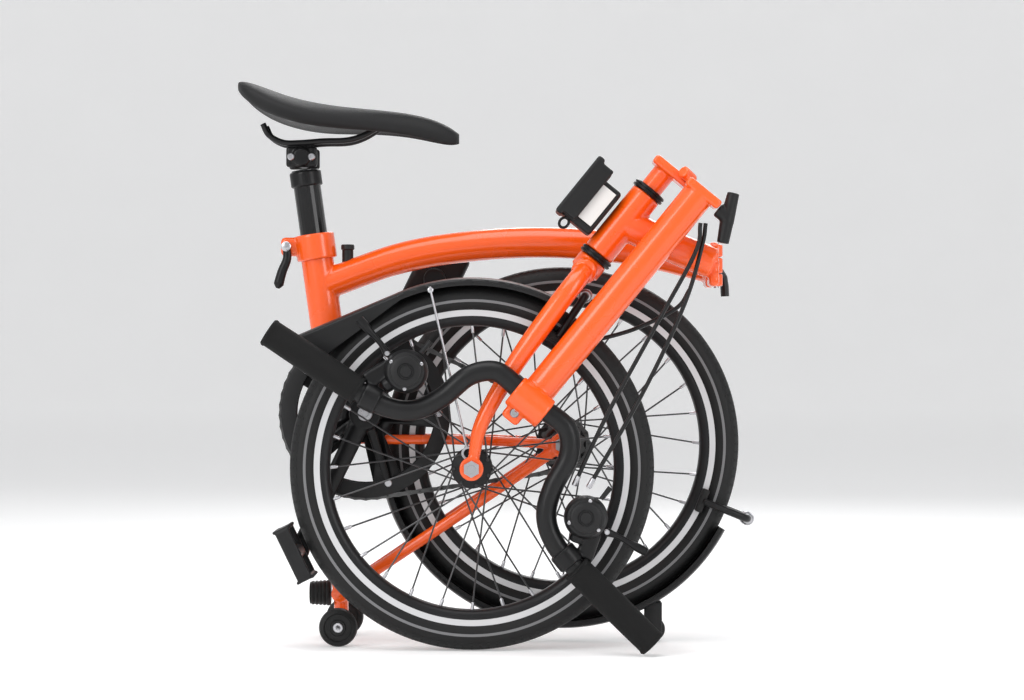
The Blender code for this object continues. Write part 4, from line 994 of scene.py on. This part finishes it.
rear_frame()
rollers()
drive()
chain()
near_end = crank("crank_arm_right", "crank_right", "cranks", 0.003, -1, False)
far_end = crank("crank_arm_left", "crank_left", "cranks", 2 * REAR_Y - 0.003, 1, True)
pedals(near_end, far_end)


# ---------------------------------------------------------------- mudguards, brakes and cables


def mudguard(name, node, axle, body, start, end, flap=0.0, flap_deep=0.0, extra=()):
    """Thin rolled channel round the tyre, with a flap that widens past its end."""
    half, radius = 0.0238, WHEEL_R + 0.009
    stations = []
    for k in range(61):
        angle = math.radians(start + (end - start) * k / 60)
        out = Vector((math.cos(angle), 0, math.sin(angle)))
        stations.append((axle + out * radius, out, 0.0098))
    if flap:
        last, out, deep = stations[-1]
        along = Vector((-out.z, 0, out.x))
        for k in range(1, 19):
            stations.append((last + along * flap * k / 18, out, deep + flap_deep * k / 18))
    bm = bmesh.new()
    rings = []
    for point, out, deep in stations:
        shape = [(-half, -deep), (-half, -deep * 0.5), (-half, -0.0052)]
        for k in range(13):
            angle = math.pi * (1 - k / 12)
            shape.append((half * math.cos(angle) * (0.995 if abs(math.cos(angle)) > 0.9 else 1), -0.0050 + 0.0048 * math.sin(angle)))
        shape += [(half, -0.0052), (half, -deep * 0.5), (half, -deep)]
        rings.append([bm.verts.new(point + out * r + ACROSS * y) for y, r in shape])
    for first, second in zip(rings, rings[1:]):
        for k in range(len(first) - 1):
            bm.faces.new((first[k], first[k + 1], second[k + 1], second[k]))
    sheet = from_bmesh("sheet", bm, angle=60)
    probe = sheet.data.polygons[len(sheet.data.polygons) // 2]
    outward = (probe.center - axle).dot(probe.normal) > 0
    thick = sheet.modifiers.new("thickness", "SOLIDIFY")
    thick.thickness = 0.0015
    thick.offset = -1 if outward else 1
    rim = sheet.modifiers.new("edge", "BEVEL")
    rim.width = 0.0003
    rim.segments = 2
    rim.limit_method = "ANGLE"
    applied(sheet)
    piece = merged(name, [sheet, *extra]) if extra else sheet
    piece.name = name
    piece.data.shade_smooth()
    piece.data.set_sharp_from_angle(angle=math.radians(40))
    show(piece, MUDGUARD, body, (node,))


def guards():
    mudguard("mudguard_shell_near", "front_mudguard", FRONT, "fork", 62, 113, 0.125, 0.030)
    ears = [block("ear", at(0.178, REAR_Y + side * 0.010, 0.0275), (0.020, 0.0038, 0.037), bevel=0.0015)
            for side in (-1, 1)]
    ears.append(barrel("pin", off(SMALL_ROLLER, y=-0.0115), off(SMALL_ROLLER, y=0.0115), 0.0030))
    mudguard("mudguard_shell_far", "rear_mudguard", REAR, "rear_frame", -170, -28, extra=ears)
    out = Vector((math.cos(math.radians(103)), 0, math.sin(math.radians(103))))
    start, end = off(FRONT, y=-0.0262) + out * 0.209, off(FRONT, y=-0.0262) + out * 0.024
    stay = merged("guard_wire", [
        pipe("wire", [start, (start + end) / 2, end], 0.0014, sides=16, pieces=4),
        lathe("eye", [(0.0050, -0.0012), (0.0076, -0.0012), (0.0076, 0.0012), (0.0050, 0.0012)],
              off(FRONT, y=-0.0262) + out * 0.0175, ACROSS, 32),
        lathe("screw", [(0, 0), (0.0032, 0), (0.0032, 0.0016), (0.0022, 0.0022), (0, 0.0022)],
              off(start, y=-0.0010) - out * 0.004, -ACROSS, 24, closed=False)])
    stay.data.shade_smooth()
    stay.data.set_sharp_from_angle(angle=math.radians(35))
    show(stay, STEEL, "fork", ("front_guard_stay",))


def brake(name, node, axle, body, angle, clear=0.026):
    """Caliper arms, springs and pads on one bolt."""
    out = Vector((math.cos(math.radians(angle)), 0, math.sin(math.radians(angle))))
    along = Vector((-out.z, 0, out.x))
    top = axle + out * (WHEEL_R + clear)
    frame_turn = Matrix((along, ACROSS, out)).transposed()
    arms = [barrel("body", off(top, y=-0.0118), off(top, y=0.0118), 0.0062, edge=0.0015)]
    for side in (-1, 1):
        y = side * 0.0290
        arms.append(pipe("arm", [top, off(top, y=y * 0.75) - out * 0.004, off(top, y=y) - out * (clear + 0.010),
                                 off(axle, y=y) + out * 0.176], lambda t: 0.0050 - 0.0010 * t, sides=20, pieces=8))
    show(welded(name + "_arms", arms, voxel=0.0011), BLACK_METAL, body, (node,))
    pads = [block("pad", axle + out * 0.1745 + ACROSS * side * 0.0205, (0.028, 0.0135, 0.0088), frame_turn, bevel=0.002)
            for side in (-1, 1)]
    show(merged(name + "_pads", pads), RUBBER, body)
    bolt = lathe("bolt", [(0, 0), (0.0056, 0), (0.0060, 0.0008), (0.0060, 0.0030), (0.0048, 0.0042), (0.0026, 0.0042),
                          (0.0026, 0.0014), (0, 0.0014)], off(top, y=-0.0116), -ACROSS, 40, closed=False)
    show(bolt, STEEL, body)
    bolt.name = name + "_bolt"
    spring = []
    for k in range(41):
        turn = 2 * math.pi * k / 8
        spring.append(off(top, y=-0.010 + 0.0045 * k / 40 * 4.4) + along * 0.0073 * math.cos(turn)
                      + out * 0.0073 * math.sin(turn))
    show(pipe(name + "_spring", spring, 0.0009, sides=10, pieces=2), STEEL, body)


def cables():
    clip = at(0.229, POST_PLANE, 0.480)
    routes = {
        "housing_brake_right": ("cable_brake_right", [bar_point(1, 0.110, -0.3010, BAR_PLANE + 0.004),
                                                      at(0.160, -0.122, 0.295), at(0.205, -0.112, 0.390),
                                                      at(0.225, POST_PLANE - 0.004, 0.455), off(clip, y=-0.004)]),
        "housing_shift_right": ("cable_shift_right", [bar_point(1, 0.096, -0.3090, BAR_PLANE + 0.004),
                                                      at(0.120, -0.126, 0.270), at(0.175, -0.118, 0.370),
                                                      at(0.217, POST_PLANE - 0.010, 0.447),
                                                      off(clip, x=-0.006, y=-0.008)]),
    }
    for name, (node, route) in routes.items():
        show(pipe(name, route, 0.0024, sides=16, pieces=12), SATIN, "handlepost", (node,))
        ferrule = barrel("ferrule_" + name, route[0], route[0] + (route[1] - route[0]).normalized() * 0.012, 0.0031,
                         edge=0.0006)
        show(ferrule, STEEL, "handlepost")
    under = [at(0.213, -0.0780, 0.407), at(0.198, -0.0780, 0.386), at(0.155, -0.0780, 0.364),
             at(0.115, -0.0780, 0.352), at(0.092, -0.0780, 0.348)]
    show(pipe("housing_frame_front", under, 0.0024, sides=16, pieces=12), SATIN, "fork",
         ("cable_frame_front",))


guards()
brake("brake_near", "front_brake", FRONT, "fork", 56.6)
brake("brake_far", "rear_brake", REAR, "rear_frame", -22)
cables()


# ---------------------------------------------------------------- wheels


def tread_blocks(bm, centre):
    """Small shoulder blocks round both edges of the tread."""
    count = 132
    for side in (-1, 1):
        for k in range(count):
            angle = 2 * math.pi * (k + (0.5 if side > 0 else 0)) / count
            out = Vector((math.cos(angle), 0, math.sin(angle)))
            along = Vector((-math.sin(angle), 0, math.cos(angle)))
            for spot, length, width in ((math.radians(50), 0.0056, 0.0030), (math.radians(22), 0.0036, 0.0022)):
                away = out * math.cos(spot) + ACROSS * side * math.sin(spot)
                flank = out * -math.sin(spot) + ACROSS * side * math.cos(spot)
                middle = centre + out * (WHEEL_R - 0.0172) + away * 0.0162
                corners = []
                for lift in (-0.0012, 0.0007):
                    for a, b in ((-1, -1), (1, -1), (1, 1), (-1, 1)):
                        corners.append(bm.verts.new(middle + away * lift + along * a * width / 2
                                                    + flank * b * length / 2))
                for face in ((0, 1, 2, 3), (7, 6, 5, 4), (0, 4, 5, 1), (1, 5, 6, 2), (2, 6, 7, 3), (3, 7, 4, 0)):
                    bm.faces.new([corners[i] for i in face])


def tyre(name, centre, cad, body):
    """Round casing with shoulder blocks and a bead that sinks into the rim."""
    casing = 0.0164
    middle = WHEEL_R - 0.0002 - casing
    profile = []
    for k in range(33):
        angle = math.radians(-140 + 280 * k / 32)
        groove = 0.0005 if abs(math.degrees(angle)) in (0, 17.5, 35) else 0
        profile.append((middle + (casing - groove) * math.cos(angle), (casing - groove) * math.sin(angle)))
    profile += [(0.1775, 0.0085), (0.1775, -0.0085)]
    bm = bmesh.new()
    add_lathe(bm, profile, centre, ACROSS, steps=160)
    tread_blocks(bm, centre)
    look = banded(finish_of(name + "_rubber", (0.007, 0.007, 0.0072), 0.55, vary=0.2, grain=900, bump=0.12),
                  centre, 0.1868, 0.1898, (0.17, 0.17, 0.175), rough=0.35)
    show(from_bmesh(name, bm), look, body, (cad,))


def rim(name, centre, cad, body):
    """Double-wall rim with flat brake tracks that turn silver between two radii."""
    half = 0.0118
    profile = [(0.1600, -0.0050), (0.1622, -0.0090), (0.1662, -half + 0.0006), (0.1690, -half), (0.1840, -half),
               (0.1846, -half + 0.0006), (0.1846, -half + 0.0018), (0.1800, -half + 0.0022), (0.1790, 0),
               (0.1800, half - 0.0022), (0.1846, half - 0.0018), (0.1846, half - 0.0006), (0.1840, half),
               (0.1690, half), (0.1662, half - 0.0006), (0.1622, 0.0090), (0.1600, 0.0050)]
    look = finish_of(name + "_alloy", (0.015, 0.015, 0.016), 0.34, metal=0.3, vary=0.15, grain=700, bump=0.05)
    banded(look, centre, 0.1712, 0.1832, (0.62, 0.62, 0.63), rough=0.33)
    show(lathe(name, profile, centre, ACROSS, steps=160), look, body, (cad,))


def spokes(name, centre, cad, body, flange_r, flange_y, drive):
    """Hub shell, flanges, crossed spokes and their nipples."""
    bm = bmesh.new()
    profile = [(0.0052, -flange_y - 0.006), (0.0120, -flange_y - 0.006), (0.0128, -flange_y - 0.004),
               (flange_r - 0.001, -flange_y - 0.0016), (flange_r, -flange_y), (flange_r - 0.001, -flange_y + 0.0016),
               (drive + 0.002, -flange_y + 0.0035), (drive, -flange_y + 0.008), (drive, flange_y - 0.008),
               (drive + 0.002, flange_y - 0.0035), (flange_r - 0.001, flange_y - 0.0016), (flange_r, flange_y),
               (flange_r - 0.001, flange_y + 0.0016), (0.0128, flange_y + 0.004), (0.0120, flange_y + 0.006),
               (0.0052, flange_y + 0.006)]
    add_lathe(bm, profile, centre, ACROSS, steps=72)
    show(from_bmesh(name + "_shell", bm), BLACK_METAL, body, (cad,))
    wires, ends = bmesh.new(), bmesh.new()
    count = 28
    for k in range(count):
        side = -1 if k % 2 else 1
        lean = 1 if (k // 2) % 2 else -1
        angle = 2 * math.pi * k / count
        start_angle = angle - lean * math.radians(62)
        start = centre + Vector((math.cos(start_angle), 0, math.sin(start_angle))) * (flange_r - 0.003)
        start += ACROSS * side * (flange_y + (0.0012 if lean > 0 else -0.0012))
        end = centre + Vector((math.cos(angle), 0, math.sin(angle))) * 0.1612 + ACROSS * side * 0.003
        add_pipe(wires, [start, (start + end) / 2, end], 0.0010, sides=8, pieces=2)
        add_lathe(wires, [(0, -0.0014), (0.0016, -0.0014), (0.0022, 0), (0.0016, 0.0010), (0, 0.0010)],
                  start + ACROSS * side * (0.0014 if lean > 0 else -0.0014), ACROSS * side * lean, steps=10, closed=False)
        inward = (start - end).normalized()
        add_lathe(ends, [(0, -0.001), (0.0020, -0.001), (0.0020, 0.008), (0.0014, 0.0095), (0, 0.0095)],
                  end, inward, steps=10, closed=False)
    show(from_bmesh(name + "_wires", wires), SPOKE, body)
    show(from_bmesh(name + "_nipples", ends), STEEL, body)


SPOKE = finish_of("dark_spoke", (0.06, 0.06, 0.062), 0.32, metal=0.8, vary=0.2, grain=500, bump=0.04)

tyre("tyre_near", FRONT, "front_tyre", "front_wheel")
tyre("tyre_far", REAR, "rear_tyre", "rear_wheel")
rim("rim_near", FRONT, "front_rim", "front_wheel")
rim("rim_far", REAR, "rear_rim", "rear_wheel")
spokes("hub_near", FRONT, "front_hub_and_spokes", "front_wheel", 0.0230, 0.0190, 0.0105)
spokes("hub_far", REAR, "rear_hub_and_spokes", "rear_wheel", 0.0300, 0.0190, 0.0230)


NODE_LOOK = {"seatpost": SEATPOST_BLACK, "front_axle": STEEL, "rear_axle": STEEL}


# ---------------------------------------------------------------- finishes of the CAD nodes that stay

for made, obj in frame["nodes"].items():
    for place in obj.material_slots:
        wanted = next((look for key, look in SLOT_LOOK.items() if place.material and key in place.material.name), None)
        place.material = wanted or PLASTIC
    if not obj.material_slots:
        obj.data.materials.append(PLASTIC)
for made, look in NODE_LOOK.items():
    for place in frame["nodes"][made].material_slots:
        place.material = look


# ---------------------------------------------------------------- floor, light and camera


def floor():
    """Pale round studio floor that curves up into a wall on every side."""
    reach, curve, top = 18.0, 5.0, 20.0
    profile = [(0.0, 0.0), (0.6, 0.0), (3.0, 0.0), (reach - curve, 0.0)]
    profile += [(reach - curve + curve * math.sin(k * math.pi / 24), curve - curve * math.cos(k * math.pi / 24))
                for k in range(1, 13)]
    profile.append((reach, top))
    bm = bmesh.new()
    add_lathe(bm, profile, Vector((0, 0, 0)), (0, 0, 1), steps=96, closed=False)
    backdrop = from_bmesh("backdrop", bm)
    look = finish_of("pale_backdrop", (0.88, 0.88, 0.88), 0.85, vary=0.01, grain=60, bump=0.01, mottle=2,
                     rough_vary=0.03, specular=0.1)
    shader = look.node_tree.nodes["Principled BSDF"]
    shader.inputs["Emission Color"].default_value = (1, 1, 1, 1)
    shader.inputs["Emission Strength"].default_value = 0.24
    backdrop.data.materials.append(look)


def soft_light(name, place, target, size, watts):
    data = bpy.data.lights.new(name, "AREA")
    data.shape = "RECTANGLE"
    data.size, data.size_y = size
    data.energy = watts
    lamp = bpy.data.objects.new(name, data)
    lamp.location = place
    lamp.rotation_euler = (Vector(target) - Vector(place)).to_track_quat("-Z", "Y").to_euler()
    bpy.context.scene.collection.objects.link(lamp)


floor()
soft_light("top", (-0.2, -0.6, 2.6), (0, 0, 0.3), (2.4, 1.8), 40)
soft_light("front_left", (-1.9, -2.2, 1.5), (0, 0, 0.35), (1.2, 1.8), 30)
soft_light("front_right", (2.1, -2.0, 1.0), (0, 0, 0.35), (0.9, 1.6), 16)
soft_light("behind", (0.6, 2.2, 1.9), (0, 0, 0.4), (1.6, 0.8), 22)

world = bpy.data.worlds.new("studio")
world.use_nodes = True
world.node_tree.nodes["Background"].inputs["Color"].default_value = (0.95, 0.96, 1.0, 1)
world.node_tree.nodes["Background"].inputs["Strength"].default_value = 0.25
bpy.context.scene.world = world
bpy.context.scene.view_settings.view_transform = "Standard"

camera = bpy.data.objects.new("camera", bpy.data.cameras.new("camera"))
camera.data.lens = 99.6
camera.data.sensor_width = 36
camera.location = (0.0188, -3.25, 0.339)
camera.rotation_euler = (math.pi / 2, 0, 0)
bpy.context.scene.collection.objects.link(camera)
bpy.context.scene.camera = camera
